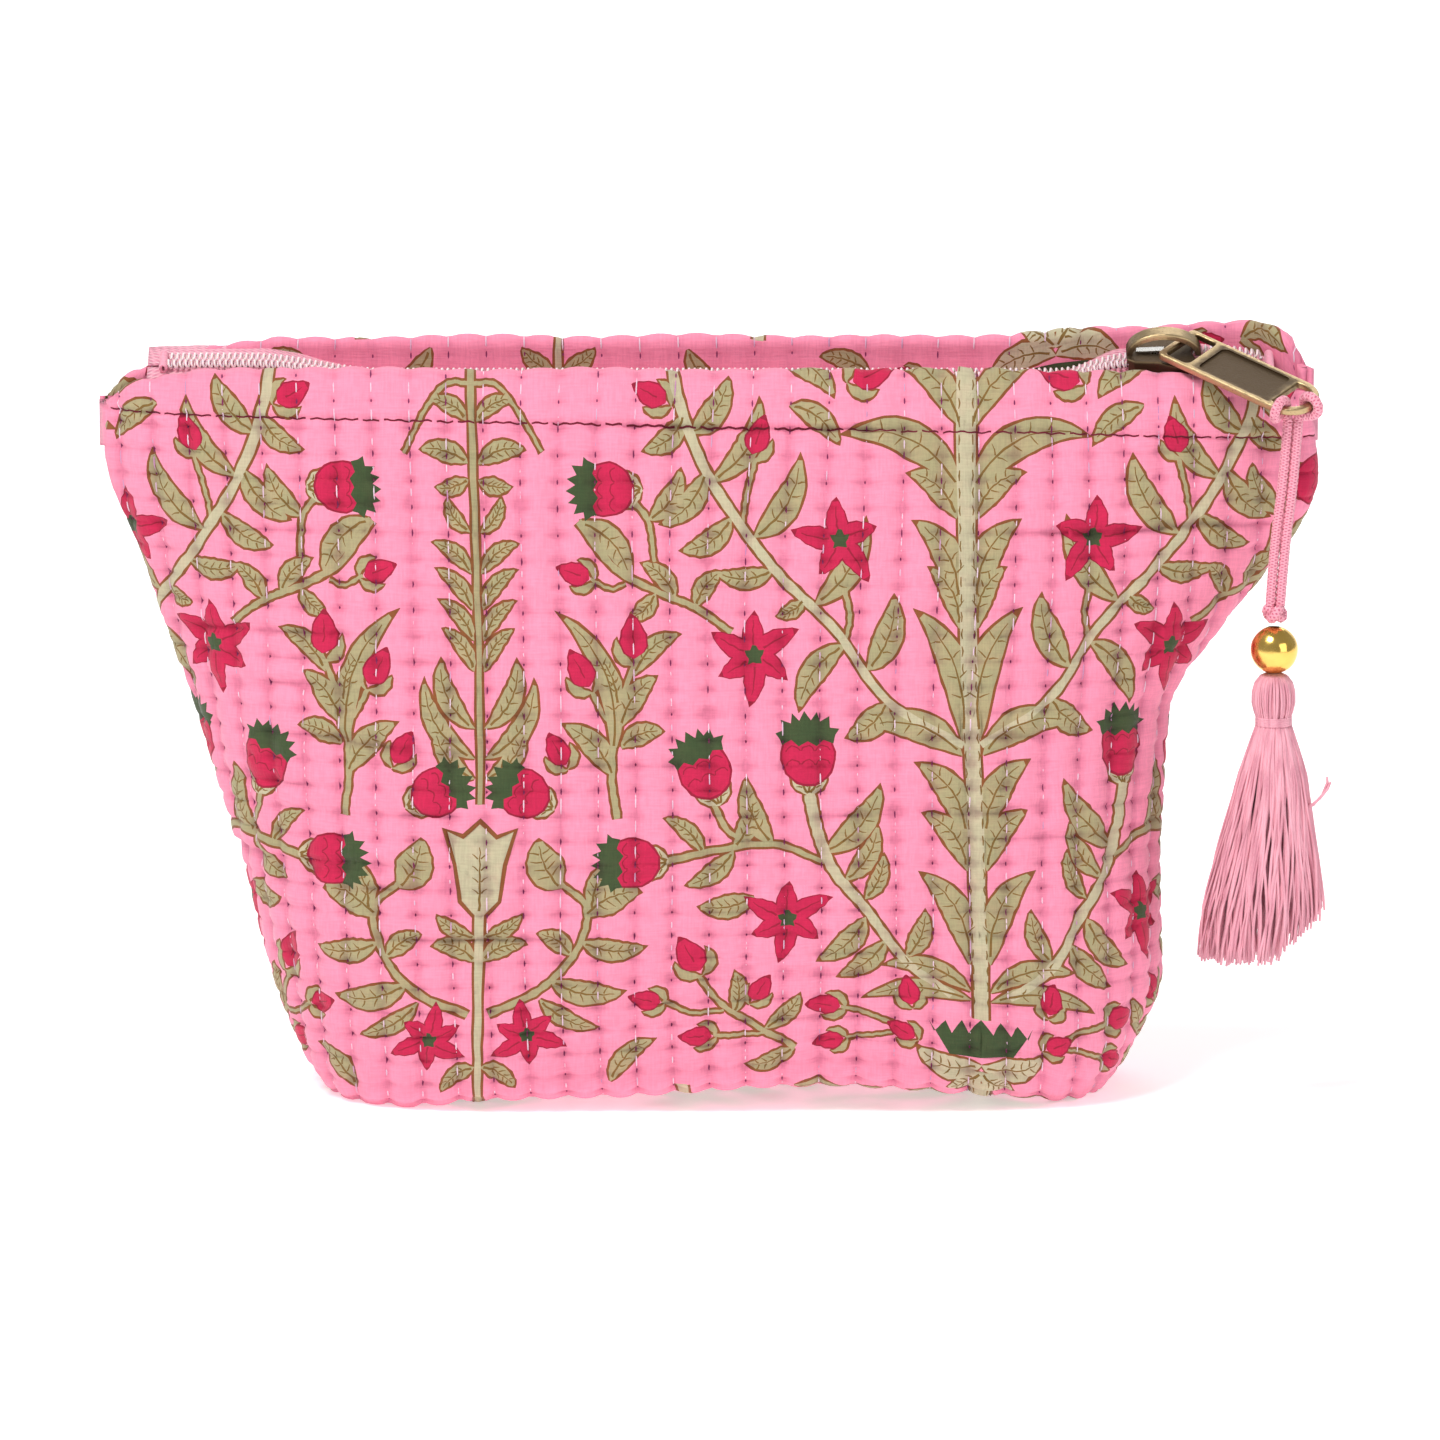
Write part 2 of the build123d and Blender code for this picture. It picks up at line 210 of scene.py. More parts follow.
class Finish:
    """A material being mixed: its shader's own settings, and the nodes that vary it."""

    def __init__(self, name, **settings):
        self.material = bpy.data.materials.new(name)
        self.material.use_nodes = True
        self.tree = self.material.node_tree
        self.shader = self.tree.nodes["Principled BSDF"]
        for socket, value in settings.items():
            self.shader.inputs[socket.replace("_", " ")].default_value = value

    def node(self, kind, settings=None, inputs=None, out=0):
        """A node of a type, with its settings, then the values or links of its sockets."""
        node = self.tree.nodes.new("ShaderNode" + kind)
        for key, value in (settings or {}).items():
            if key == "stops":
                ramp = node.color_ramp.elements
                while len(ramp) < len(value):
                    ramp.new(0.5)
                for stop, (at, colour) in zip(ramp, value):
                    stop.position, stop.color = at, (*colour, 1)
            else:
                setattr(node, key, value)
        for key, value in (inputs or {}).items():
            if isinstance(value, Tone):
                self.tree.links.new(value.socket, node.inputs[key])
            else:
                node.inputs[key].default_value = value
        return Tone(node.outputs[out])

    def place(self, scale=(1, 1, 1), run=None):
        """Where a point is: in the room, or on the piece's own map when its name is given."""
        if run:
            spot = self.node("UVMap", {"uv_map": run})
        else:
            spot = self.node("TexCoord", out="Object")
        return self.node("Mapping", None, {"Vector": spot, "Scale": scale})

    def noise(self, scale, detail=2.0, rough=0.5, at=None):
        """Cloudy unevenness, as fine as its scale."""
        return self.node("TexNoise", None, {
            "Vector": at or self.place(), "Scale": scale, "Detail": detail, "Roughness": rough})

    def math(self, operation, *values):
        return self.node("Math", {"operation": operation}, dict(enumerate(values)))

    def blend(self, factor, one, two, way="MIX"):
        """A colour between two, or one laid over the other."""
        ends = {6: one, 7: two}
        ends = {key: (*value, 1) if isinstance(value, tuple) else value for key, value in ends.items()}
        return self.node("Mix", {"data_type": "RGBA", "blend_type": way}, {0: factor, **ends}, out=2)

    def fade(self, value, low, high, at_low=0.0, at_high=1.0):
        """A value that goes from one number to another while its source goes from low to high."""
        return self.node("MapRange", {"interpolation_type": "SMOOTHSTEP"},
                         {"Value": value, "From Min": low, "From Max": high, "To Min": at_low,
                          "To Max": at_high})

    def feed(self, **sockets):
        for socket, tone in sockets.items():
            self.tree.links.new(tone.socket, self.shader.inputs[socket.replace("_", " ")])

    def relief(self, height, depth, strength=1.0):
        """Fine relief that only the light sees; depth in metres."""
        bump = self.node("Bump", None, {"Height": height, "Distance": depth, "Strength": strength})
        self.feed(Normal=bump)

    def dress(self, *pieces):
        for piece in pieces:
            if piece.material_slots:
                for held in piece.material_slots:
                    held.material = self.material
            else:
                piece.data.materials.append(self.material)


def fit(piece, finish, body, node=None):
    """Dress a finished piece, put it on its body, and hide the plain solid that it stands for."""
    finish.dress(piece)
    if node:
        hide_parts(node)
    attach(piece, body)


def satin_cord():
    finish = Finish("braided satin cord", Roughness=0.45, Sheen_Weight=0.35, Sheen_Roughness=0.4)
    fibres = finish.noise(1.0, 2, at=finish.place((60, 9000, 1), "run"))
    spot = finish.node("UVMap", {"uv_map": "run"})
    around, far = (finish.node("SeparateXYZ", None, {0: spot}, out=k) for k in (0, 1))
    wind = 2 * math.pi * BRAID_STARTS
    turn, rise = around * wind, far * (wind / BRAID_PITCH)
    high = finish.math("MAXIMUM", finish.math("COSINE", turn + rise), finish.math("COSINE", turn - rise))
    tint = finish.blend(fibres, (0.86, 0.31, 0.41), (0.96, 0.46, 0.56))
    # painted shade: the colour goes to deep red in the grooves between the braid's raised yarns
    finish.feed(Base_Color=finish.blend(finish.fade(high, -0.4, 0.7), (0.62, 0.13, 0.22), tint))
    finish.relief(fibres, 0.00006)
    return finish


cord_finish = satin_cord()
strands = []
for side, name in ((-1, "left"), (1, "right")):
    strand, path = braid("cord_strand_" + name + "_braid", strand_points(side))
    cord_finish.dress(strand)
    strands.append((strand, path, name, side))

# ---- printed cloth -----------------------------------------------------------------------------
# Front and back are each one piece of hand block-printed cotton: the wall, half of the boxed base,
# and a band turned in over the rim. Running stitches hold it to the wadding in upright rows.
LEVELS = (
    (0, -76, 77, 33, 6, 2.6), (5, -81.5, 83, 37, 6, 2.5), (20, -87, 90, 38, 5.5, 2.2),
    (50, -95.5, 90, 35.5, 4.6, 1.9), (80, -105, 92.5, 31, 3.8, 1.6), (112, -116.5, 117.5, 23.5, 3, 1.35),
    (122, -121, 122.5, 19.5, 3, 1.35), (130, -122.5, 121.5, 16, 3.4, 1.45),
    (135.5, -121.5, 120.5, 13, 4.5, 1.7), (143, -121, 119.5, 10.3, 8, 1.9), (156, -117, 116, 9.5, 8, 1.9),
)
ROW_GAP = 7.4
STITCH_PITCH = 5.0
FOLD = 1.3
TURNED_IN = 8.0
CLOTH_THICK = 0.7
BASE_ROWS = 46
TOP_Z = 160
REACH = 160
ARCH = ((-75, 0), (-60, 0.3), (-49, 1.8), (-18, 3.2), (10, 5.6), (25, 6.6), (40, 5.4), (51, 4.0), (62, 2.6),
        (70, 0.8), (78, 0))
FRONT_RIM = ((-122, 137.5), (-119, 140.8), (-114, 143.4), (-104, 145.2), (-92, 145.6), (76, 145.6),
             (88, 144.9), (99, 144.2), (112, 143.4), (118, 141.0), (122, 138.0))
BACK_RIM = ((-122, 138.5), (-118, 142.2), (-110, 146.2), (-100, 148.8), (-88, 150.2), (60, 150.4), (84, 152.2),
            (98, 153.6), (110, 153.4), (116, 150.5), (119, 146.0), (122, 141.0))
FRONT_SEAM = ((-122, 137.6), (0, 135.3), (60, 134.3), (122, 132.0))
BACK_SEAM = ((-122, 136.5), (0, 137.0), (122, 139.5))
SIDES = ((-1, "front"), (1, "back"))
RIM = {-1: FRONT_RIM, 1: BACK_RIM}
RIM_SEAM = {-1: FRONT_SEAM, 1: BACK_SEAM}
ARCH_SHARE = {-1: 1.0, 1: 0.45}
LEAN_IN = {-1: 1.7, 1: 0.4}
RIM_LOOKED_UP = 144.0
HEM_AT = 135.5
FLAT_U = np.arange(-REACH, REACH + 1)
UP_LEVELS = np.arange(TOP_Z + 1)


def ease(values, spread):
    """Values smoothed along their first axis."""
    reach = int(4 * spread)
    weights = np.exp(-0.5 * (np.arange(-reach, reach + 1) / spread) ** 2)
    weights /= weights.sum()
    pad = [(reach, reach)] + [(0, 0)] * (values.ndim - 1)
    padded = np.pad(values, pad, mode="edge")
    return sum(w * padded[k:k + len(values)] for k, w in enumerate(weights))


level_rows = np.array(LEVELS, dtype=float)
shape_by_z = ease(np.stack([np.interp(UP_LEVELS, level_rows[:, 0], level_rows[:, k])
                            for k in range(1, 6)], axis=1), 2.6)


def middle_y(z):
    """How far forward the middle of a section stands, by height."""
    return 0.3 - 2.0 * np.minimum(1, np.maximum(0, z) / HEM_AT)


def wall_row(z, shares, inset=0.0):
    """One wall's section at a height: x, and how far it stands out from the middle."""
    left, right, depth, flat, sharp = [np.interp(z, UP_LEVELS, shape_by_z[:, k]) for k in range(5)]
    left, right, depth = left + 1.2 * inset, right - 1.2 * inset, depth - inset
    x = (left + right) / 2 + (right - left) / 2 * shares
    return x, depth * np.maximum(0, 1 - np.abs(shares) ** flat) ** (1 / sharp)


def wall_tables():
    """The wall and base by cloth coordinates: x, stand-out and z, and where the seams end."""
    shares = np.sin(np.linspace(-math.pi / 2, math.pi / 2, 801))
    flat = FLAT_U.astype(float)
    xs, outs, ends = [], [], []
    for z in range(TOP_Z + 1):
        x, out = wall_row(z, shares)
        run = np.concatenate([[0], np.cumsum(np.hypot(np.diff(x), np.diff(out)))])
        run -= np.interp(0, x, run)
        xs.append(np.interp(flat, run, x))
        past = np.maximum(0, flat - run[-1]) + np.maximum(0, run[0] - flat)
        outs.append(np.interp(flat, run, out) - past)
        ends.append((run[0], run[-1]))
    xs, outs = np.array(xs), np.array(outs)
    under = np.arange(-BASE_ROWS, 0)[:, None]
    xs = np.concatenate([np.repeat(xs[:1], BASE_ROWS, axis=0), xs])
    outs = np.concatenate([outs[:1] + under, outs])
    zs = np.repeat(np.maximum(0, np.arange(-BASE_ROWS, TOP_Z + 1.0))[:, None], len(flat), axis=1)
    near = np.exp(-(np.arange(-BASE_ROWS, TOP_Z + 1.0) / 14) ** 4)[:, None]
    made = [near * ease(values, 2.4) + (1 - near) * values for values in (xs, outs, zs)]
    return made, np.array(ends), outs[BASE_ROWS]


(table_x, table_out, table_z), seam_ends, base_depth = wall_tables()


def looked_up(table, u, v):
    """A table's value at cloth coordinates, in millimetres."""
    i = np.clip(v + BASE_ROWS, 0, table.shape[0] - 1.001)
    j = np.clip(u + REACH, 0, table.shape[1] - 1.001)
    i0, j0 = i.astype(int), j.astype(int)
    di, dj = i - i0, j - j0
    return ((1 - di) * ((1 - dj) * table[i0, j0] + dj * table[i0, j0 + 1])
            + di * ((1 - dj) * table[i0 + 1, j0] + dj * table[i0 + 1, j0 + 1]))


def along(stations, x):
    """A value given at a few stations, at x."""
    return np.interp(x, [s[0] for s in stations], [s[1] for s in stations])


def cloth_at(u, v, side):
    """Where cloth coordinates lie on the bag; side is -1 in front and 1 behind."""
    rim = along(RIM[side], looked_up(table_x, u, np.full_like(v, RIM_LOOKED_UP)))
    straight = rim - FOLD
    up = np.minimum(v, straight)
    x, out, z = (looked_up(table, u, up) for table in (table_x, table_out, table_z))
    lean = np.clip((up - 136) / 10, 0, 1)
    out = out - LEAN_IN[side] * lean ** 2 * np.clip(out / 6, 0, 1)
    over = np.clip((v - straight) / FOLD, 0, math.pi)
    down = np.maximum(0, v - straight - math.pi * FOLD)
    inward = np.minimum(FOLD * (1 - np.cos(over)), 0.8 * np.maximum(0, out))
    z = z + FOLD * np.sin(over) - down
    out = out - inward
    arch = along(ARCH, x) * ARCH_SHARE[side]
    share = np.clip(1 + v / np.maximum(1, np.interp(u, FLAT_U, base_depth)), 0, 1)
    z = z + arch * np.where(v < 0, share ** 0.85, np.exp(-(v / 34) ** 2))
    return np.stack([x, middle_y(z) + side * out, z], axis=-1)


def facing_out(u, v, side):
    """The cloth's outward direction."""
    step = 0.8
    across = cloth_at(u + step, v, side) - cloth_at(u - step, v, side)
    up = cloth_at(u, v + step, side) - cloth_at(u, v - step, side)
    out = np.cross(across, up) * (-side)
    return out / np.maximum(1e-9, np.linalg.norm(out, axis=-1))[..., None]


chance = random.Random(12)
waves = [(chance.uniform(-0.16, 0.16), chance.uniform(0.05, 0.22), chance.uniform(0, 6.28),
          chance.uniform(0.05, 0.15)) for _ in range(14)]
creases = [(chance.uniform(-105, 85), chance.uniform(12, 128), chance.uniform(12, 38),
            chance.uniform(0.25, 0.6), chance.uniform(-0.06, 0.06)) for _ in range(26)]
creases += [(86, 115, 24, 0.85, 0.01), (18, 82, 30, 0.55, 0.02), (-60, 74, 26, 0.55, -0.02)]


def row_drift(u, v):
    """How far the hand-sewn rows wander from plumb."""
    return 0.9 * np.sin(v / 41 + u / 37) + 0.5 * np.sin(v / 17 + u / 23 + 1.3) - 0.03 * np.minimum(0, u + 60)


def swell(u, v, side):
    """Slow rise and fall of the whole quilt, which all its layers follow."""
    height = 0.0 * u
    for a, b, phase, size in waves:
        height = height + size * np.sin(a * u + b * v + phase + side)
    return height * edge_hold(u, v)


def edge_hold(u, v, reach=4.5):
    """How far the seams let the cloth go: 0 on a seam, 1 well inside the panel."""
    return np.clip(seam_distance(u, v) / reach, 0, 1) ** 0.7


def seam_distance(u, v):
    """How far a flat position is from the nearest side seam or the base seam."""
    left, right = (np.interp(np.clip(v, 0, 150), UP_LEVELS, seam_ends[:, k]) for k in (0, 1))
    base = np.interp(u, FLAT_U, base_depth) + v
    return np.minimum(np.minimum(u - left, right - u), np.where(v < 0, np.maximum(0, base), 99))


def quilted(u, v, side):
    """Height of the quilting over the wall: puffs between rows, drawn down where the thread dives."""
    place = (u + row_drift(u, v)) / ROW_GAP
    from_row = np.abs(place - np.round(place)) * 2
    puff = 1 - (1 - from_row) ** 2.1
    beat = np.abs(((v + 0.25 * np.sin(u / 9)) / STITCH_PITCH) % 1 - 0.5) * 2
    drawn = beat ** 5
    height = 1.0 * puff - 0.55 * drawn - 0.20 * (1 - from_row) * drawn
    for cu, cv, half, depth, tilt in creases:
        off = v - cv - tilt * (u - cu) - 0.7 * np.sin(u / 6 + cu)
        reach = np.exp(-((u - cu) / half) ** 4)
        fold = np.exp(-(off / 0.9) ** 2) - 0.45 * np.exp(-((off - 2.4) / 1.8) ** 2)
        height = height - depth * reach * fold
    off = v - along(RIM_SEAM[side], u)
    height = height * np.clip(1.15 - 0.5 * np.clip(off / 3, 0, 1), 0.4, 1)
    height = height + 0.55 / (1 + np.exp(-off / 0.5)) * np.exp(-np.maximum(0, off) / 14)
    height = height - 0.75 * np.exp(-(off / 0.55) ** 2)
    inner = along(RIM[side], u) - FOLD
    height = height * np.clip(1 - (v - inner - 2.5) / 3, 0.35, 1)
    edge = seam_distance(u, v)
    return height * edge_hold(u, v) - 0.35 * np.exp(-(edge / 0.9) ** 2) + swell(u, v, side)


# The print. Every motif is a few closed outlines, in millimetres, in one half of a mirrored repeat:
# a slim stem stands on the left axis and a thick one on the right.
HALF_REPEAT = 98.8
REPEAT_HIGH = 150.0
# The last ink is painted shade, not print: it marks the dimples where the quilting thread dives.
INKS = {
    "ground": (0.930, 0.285, 0.425), "line": (0.225, 0.078, 0.022), "sage": (0.375, 0.335, 0.180),
    "pale": (0.500, 0.460, 0.300), "vein": (0.195, 0.115, 0.028), "wine": (0.290, 0.008, 0.035),
    "crimson": (0.540, 0.012, 0.070), "deep": (0.300, 0.008, 0.035), "green": (0.045, 0.075, 0.026),
    "seam": (0.150, 0.010, 0.026), "dot": (0.230, 0.028, 0.120),
}
ORDER = ("ground", "line", "sage", "pale", "vein", "wine", "crimson", "deep", "green", "seam", "dot")


class Block:
    """The cutter's drawing: closed outlines, each with the ink it is printed in."""

    def __init__(self):
        self.shapes = []

    def shape(self, ink, points):
        self.shapes.append((ink, np.asarray(points, dtype=float)))

    def ribbon(self, ink, line, halves):
        """A band along a line, as wide each side as its halves say."""
        line = np.asarray(line, dtype=float)
        ahead = np.gradient(line, axis=0)
        ahead /= np.maximum(1e-9, np.linalg.norm(ahead, axis=1))[:, None]
        aside = np.stack([-ahead[:, 1], ahead[:, 0]], axis=1) * np.asarray(halves)[:, None]
        self.shape(ink, np.concatenate([line + aside, (line - aside)[::-1]]))

    def bow(self, base, tip, bend, count=11):
        """A line from base to tip that bends to its left by a share of its length."""
        base, tip = np.array(base, dtype=float), np.array(tip, dtype=float)
        t = np.linspace(0, 1, count)[:, None]
        chord = tip - base
        return base + t * chord + 4 * t * (1 - t) * bend * np.array([-chord[1], chord[0]])

    def leaf(self, base, tip, wide, bend=0.12, ink="sage"):
        """A pointed leaf with a cut outline, a midrib and a few short side veins."""
        line = self.bow(base, tip, bend, 15)
        t = np.linspace(0, 1, len(line))
        body = np.sin(math.pi * t ** 0.85) ** 0.9
        wide = 1.22 * wide
        self.ribbon("line", line, wide / 2 * body + 0.36 * np.minimum(1, 6 * (1 - t) + 0.15))
        self.ribbon(ink, line[:-1], (wide / 2 * body - 0.18).clip(0.05)[:-1])
        if wide > 2.6:
            self.ribbon("vein", line[1:-2], np.linspace(0.26, 0.10, len(line) - 3))
            ahead = np.gradient(line, axis=0)
            for k in (4, 6, 8, 10):
                way = ahead[k] / np.linalg.norm(ahead[k])
                for turn in (1, -1):
                    out = np.array([-way[1], way[0]]) * turn
                    start = line[k] + 0.3 * out
                    end = line[k] + (0.66 * wide / 2) * out + 0.9 * way
                    self.ribbon("vein", [start, (start + end) / 2, end], (0.17, 0.14, 0.05))

    def smooth(self, points, count=8):
        """A soft line through points."""
        points = np.asarray(points, dtype=float)
        padded = np.concatenate([[2 * points[0] - points[1]], points, [2 * points[-1] - points[-2]]])
        line = []
        for a, b, c, d in zip(padded, padded[1:], padded[2:], padded[3:]):
            for t in np.linspace(0, 1, count, endpoint=False):
                line.append(0.5 * (2 * b + (c - a) * t + (2 * a - 5 * b + 4 * c - d) * t * t
                                   + (3 * b - a - 3 * c + d) * t ** 3))
        return np.array(line + [points[-1]])

    def stem(self, points, wide=1.5, ink="sage"):
        line = self.smooth(points)
        taper = np.linspace(1, 0.75, len(line))
        self.ribbon("line", line, taper * wide / 2 + 0.36)
        self.ribbon(ink, line, taper * wide / 2 - 0.16)

    def star(self, middle, size, turn=90, petals=6):
        """An open flower of pointed petals about a green eye."""
        middle = np.array(middle, dtype=float)
        for k in range(petals):
            way = math.radians(turn + 360 * k / petals + 5 * math.sin(5 * k + size))
            reach = size * (1 + 0.13 * math.sin(3 * k + 2 * size))
            tip = middle + reach * np.array([math.cos(way), math.sin(way)])
            line = self.bow(middle, tip, 0.04, 10)
            t = np.linspace(0, 1, 10)
            body = np.sin(math.pi * t ** 0.75) ** 0.8 * 0.235 * size
            self.ribbon("wine", line, body + 0.22 * (1 - t) + 0.02)
            self.ribbon("crimson", line[:-1], (body - 0.13).clip(0.05)[:-1])
            self.ribbon("deep", line[2:-2], np.linspace(0.20, 0.08, 6))
        ring = np.linspace(0, 2 * math.pi, 14, endpoint=False)
        eye = size * (0.19 + 0.05 * np.sin(5 * ring))
        self.shape("green", middle + np.stack([eye * np.cos(ring), eye * np.sin(ring)], axis=1))

    def local(self, middle, turn, size):
        way = math.radians(turn)
        ahead = np.array([math.cos(way), math.sin(way)]) * size
        aside = np.array([-math.sin(way), math.cos(way)]) * size
        middle = np.array(middle, dtype=float)
        return lambda points: middle + np.asarray(points) @ np.array([ahead, aside])

    def thistle(self, middle, turn, size=10.0):
        """A round scaly head with a jagged green crown, on a pale cup; turn is where the crown points."""
        at = self.local(middle, turn, size)
        ring = np.linspace(0, 2 * math.pi, 26, endpoint=False)
        body = np.stack([0.47 * np.cos(ring) - 0.03, 0.43 * np.sin(ring)], axis=1)
        self.shape("wine", at(body * 1.05))
        self.shape("crimson", at(body * 0.97))
        for x in (-0.22, 0.0):
            for y in (-0.24, 0.0, 0.24):
                arc = np.linspace(-1.2, 1.2, 6)
                scale = np.stack([x + 0.13 * np.cos(arc), y + 0.12 * np.sin(arc)], axis=1)
                self.ribbon("deep", at(scale), [0.13] * 6)
        teeth = [(0.16, -0.42), (0.30, -0.46), (0.38, -0.52), (0.40, -0.36), (0.58, -0.36), (0.50, -0.22),
                 (0.66, -0.16), (0.52, -0.06), (0.68, 0.04), (0.52, 0.12), (0.64, 0.24), (0.48, 0.26),
                 (0.54, 0.42), (0.38, 0.38), (0.34, 0.52), (0.24, 0.44), (0.14, 0.42), (0.22, 0.26),
                 (0.12, 0.14), (0.20, 0.0), (0.12, -0.14), (0.22, -0.26)]
        self.shape("green", at(teeth))
        for aside in (-0.30, 0.0, 0.30):
            self.leaf(at([-0.66, 0.0]), at([-0.18, aside]), 0.23 * size, 0.0, "pale")

    def bud(self, middle, turn, size=6.5):
        """A closed bud between two sepals; turn is where it points."""
        at = self.local(middle, turn, size)
        t = np.linspace(0, 1, 9)
        line = at(np.stack([-0.45 + 1.1 * t, 0 * t], axis=1))
        body = size * 0.34 * np.sin(math.pi * t ** 0.7) ** 0.85
        self.ribbon("wine", line, body + 0.2)
        self.ribbon("crimson", line[:-1], (body - 0.15).clip(0.05)[:-1])
        self.ribbon("deep", line[2:-2], (0.16, 0.16, 0.13, 0.1, 0.06))
        for way in (1, -1):
            self.leaf(at([-0.62, 0.0]), at([0.10, 0.42 * way]), 0.24 * size, 0.22 * way, "sage")


def half_repeat():
    """One half of the repeat, from the slim stem at 0 to the thick stem at its right edge."""
    block = Block()
    stem, leaf, star, thistle, bud = block.stem, block.leaf, block.star, block.thistle, block.bud
    edge = HALF_REPEAT

    # the slim stem with its leaf pairs, the bell under it and the two stars at its foot
    stem([(0, 152), (0, 110), (0, 63)], 1.7)
    stem([(0, 144), (5, 144), (10, 138), (14, 131)], 1.2)
    for base, tip, wide, bend in (
            ((1, 137), (9, 141), 2.8, 0.15), ((1, 129), (11, 131.5), 3.4, 0.12),
            ((1, 126), (8, 124.5), 2.8, -0.1), ((1, 116), (5.5, 123), 2.5, -0.15),
            ((1, 108), (9, 114), 2.7, 0.12), ((1, 101), (8.5, 109), 2.7, 0.12),
            ((1, 95), (8, 103), 2.7, 0.12), ((1, 89), (7.5, 97.5), 2.7, 0.12),
            ((1, 78), (7.5, 92), 3.6, -0.16), ((1, 72), (11, 88), 3.6, -0.16), ((1, 68), (9, 78.5), 3.2, -0.14)):
        leaf(base, tip, wide, bend)
    thistle((8.2, 65.5), 152, 11)
    block.shape("line", [(-7.6, 58.5), (-3.4, 57.2), (0, 60.4), (3.4, 57.2), (7.6, 58.5), (5.4, 51), (4.2, 43.4),
                         (0, 38.6), (-4.2, 43.4), (-5.4, 51)])
    block.shape("pale", [(-6.5, 57.6), (-3.2, 56.1), (0, 59.2), (3.2, 56.1), (6.5, 57.6), (4.6, 51), (3.5, 43.8),
                         (0, 39.8), (-3.5, 43.8), (-4.6, 51)])
    for base, tip, wide, bend in (
            ((0, 40.5), (0, 57), 3.4, 0.0), ((0.6, 31), (9.6, 34.5), 3.4, 0.16),
            ((0.6, 36), (8.5, 41), 2.6, -0.1)):
        leaf(base, tip, wide, bend)
    stem([(0, 42), (0, 24), (0, 2)], 2.0, "pale")
    star((9.6, 15.2), 7.4, 96)
    leaf((0.6, 9), (7.5, 4), 3.0, 0.1)

    # the branch with ovate leaves right of the bell
    stem([(2, 20), (12, 25), (19, 33), (21, 42), (16, 47)], 1.7)
    for base, tip, wide, bend in (
            ((16, 46), (11.5, 56.5), 6.0, 0.1), ((20.5, 40), (32, 45), 5.6, 0.14),
            ((20, 35), (33, 33.5), 3.8, -0.12), ((18, 32), (11, 37), 3.4, -0.12),
            ((14, 27), (29, 24), 4.2, -0.12), ((22, 41), (26, 52), 3.2, 0.1),
            ((12, 23), (24, 16), 3.0, -0.1), ((26, 4), (35, 13), 3.4, 0.14)):
        leaf(base, tip, wide, bend)

    # the thistle in the middle with its long stem, and the stars on the branch below it
    thistle((26.5, 124), 178, 11.5)
    stem([(31, 123), (35, 118), (36, 110)], 1.4)
    leaf((35, 118), (42, 128), 3.8, -0.14)
    stem([(21, 118), (28, 109), (37, 104), (44, 101), (51, 96)], 1.7)
    for base, tip, wide, bend in (
            ((21, 118), (31, 106), 4.4, 0.16), ((36, 104), (30, 99), 3.0, 0.12),
            ((40, 103), (33, 110), 3.2, -0.12), ((44, 101), (50, 108), 3.2, 0.12)):
        leaf(base, tip, wide, bend)
    star((55.5, 91.5), 9.2, 86)
    bud((20.0, 108), 160, 6.5)
    stem([(23, 107), (27, 105), (30, 106)], 1.0)

    # buds on the twig that rises beside the slim stem
    stem([(27, 60), (26, 70), (28, 82), (31, 90)], 1.6)
    bud((31.2, 95), 92, 8)
    bud((20.5, 89), 118, 7.5)
    stem([(22.5, 85), (25, 80), (27.5, 78)], 1.2)
    for base, tip, wide, bend in (
            ((26.5, 68), (16, 79), 4.2, -0.12), ((26, 72), (15.5, 101), 4.0, -0.16),
            ((28, 78), (36, 88), 4.0, 0.12), ((27.5, 82), (24, 92), 2.8, -0.1),
            ((28, 74), (37, 77), 3.6, 0.14), ((31, 88), (41, 96), 3.4, 0.14)):
        leaf(base, tip, wide, bend)
    bud((15.5, 73.5), 118, 6.5)

    # the big branch from the rim down to the thick stem
    stem([(40, 152), (42, 140), (47, 127), (54, 116), (62, 106), (72, 96), (82, 82), (97, 73)], 2.4, "pale")
    bud((36.5, 141.5), 150, 7)
    bud((57.5, 133), 70, 7)
    stem([(57, 129), (55, 122), (54, 116)], 1.2)
    for base, tip, wide, bend in (
            ((43, 138), (34, 131), 3.6, 0.16), ((44, 134), (52, 145), 4.2, -0.12),
            ((47, 127), (37, 117), 4.0, 0.14), ((48, 125), (58, 141), 4.0, -0.16),
            ((52, 118), (41, 112), 3.8, 0.14), ((56, 114), (66, 130), 4.6, -0.14),
            ((60, 108), (48, 108), 3.4, 0.14), ((68, 101), (79, 118), 4.4, -0.12),
            ((66, 102), (60, 99), 2.6, 0.1), ((74, 93), (64, 80), 4.2, -0.14),
            ((78, 88), (84, 103), 4.8, -0.12), ((82, 82), (73, 75), 4.4, 0.12)):
        leaf(base, tip, wide, bend)
    star((73.5, 113.5), 9.0, 92, 5)
    stem([(73.5, 106), (75, 99), (74, 94)], 1.3)
    leaf((62, 148), (73, 140), 4.0, 0.14)
    leaf((64, 139), (74, 131), 3.6, 0.12)
    bud((80, 144.5), 20, 8)

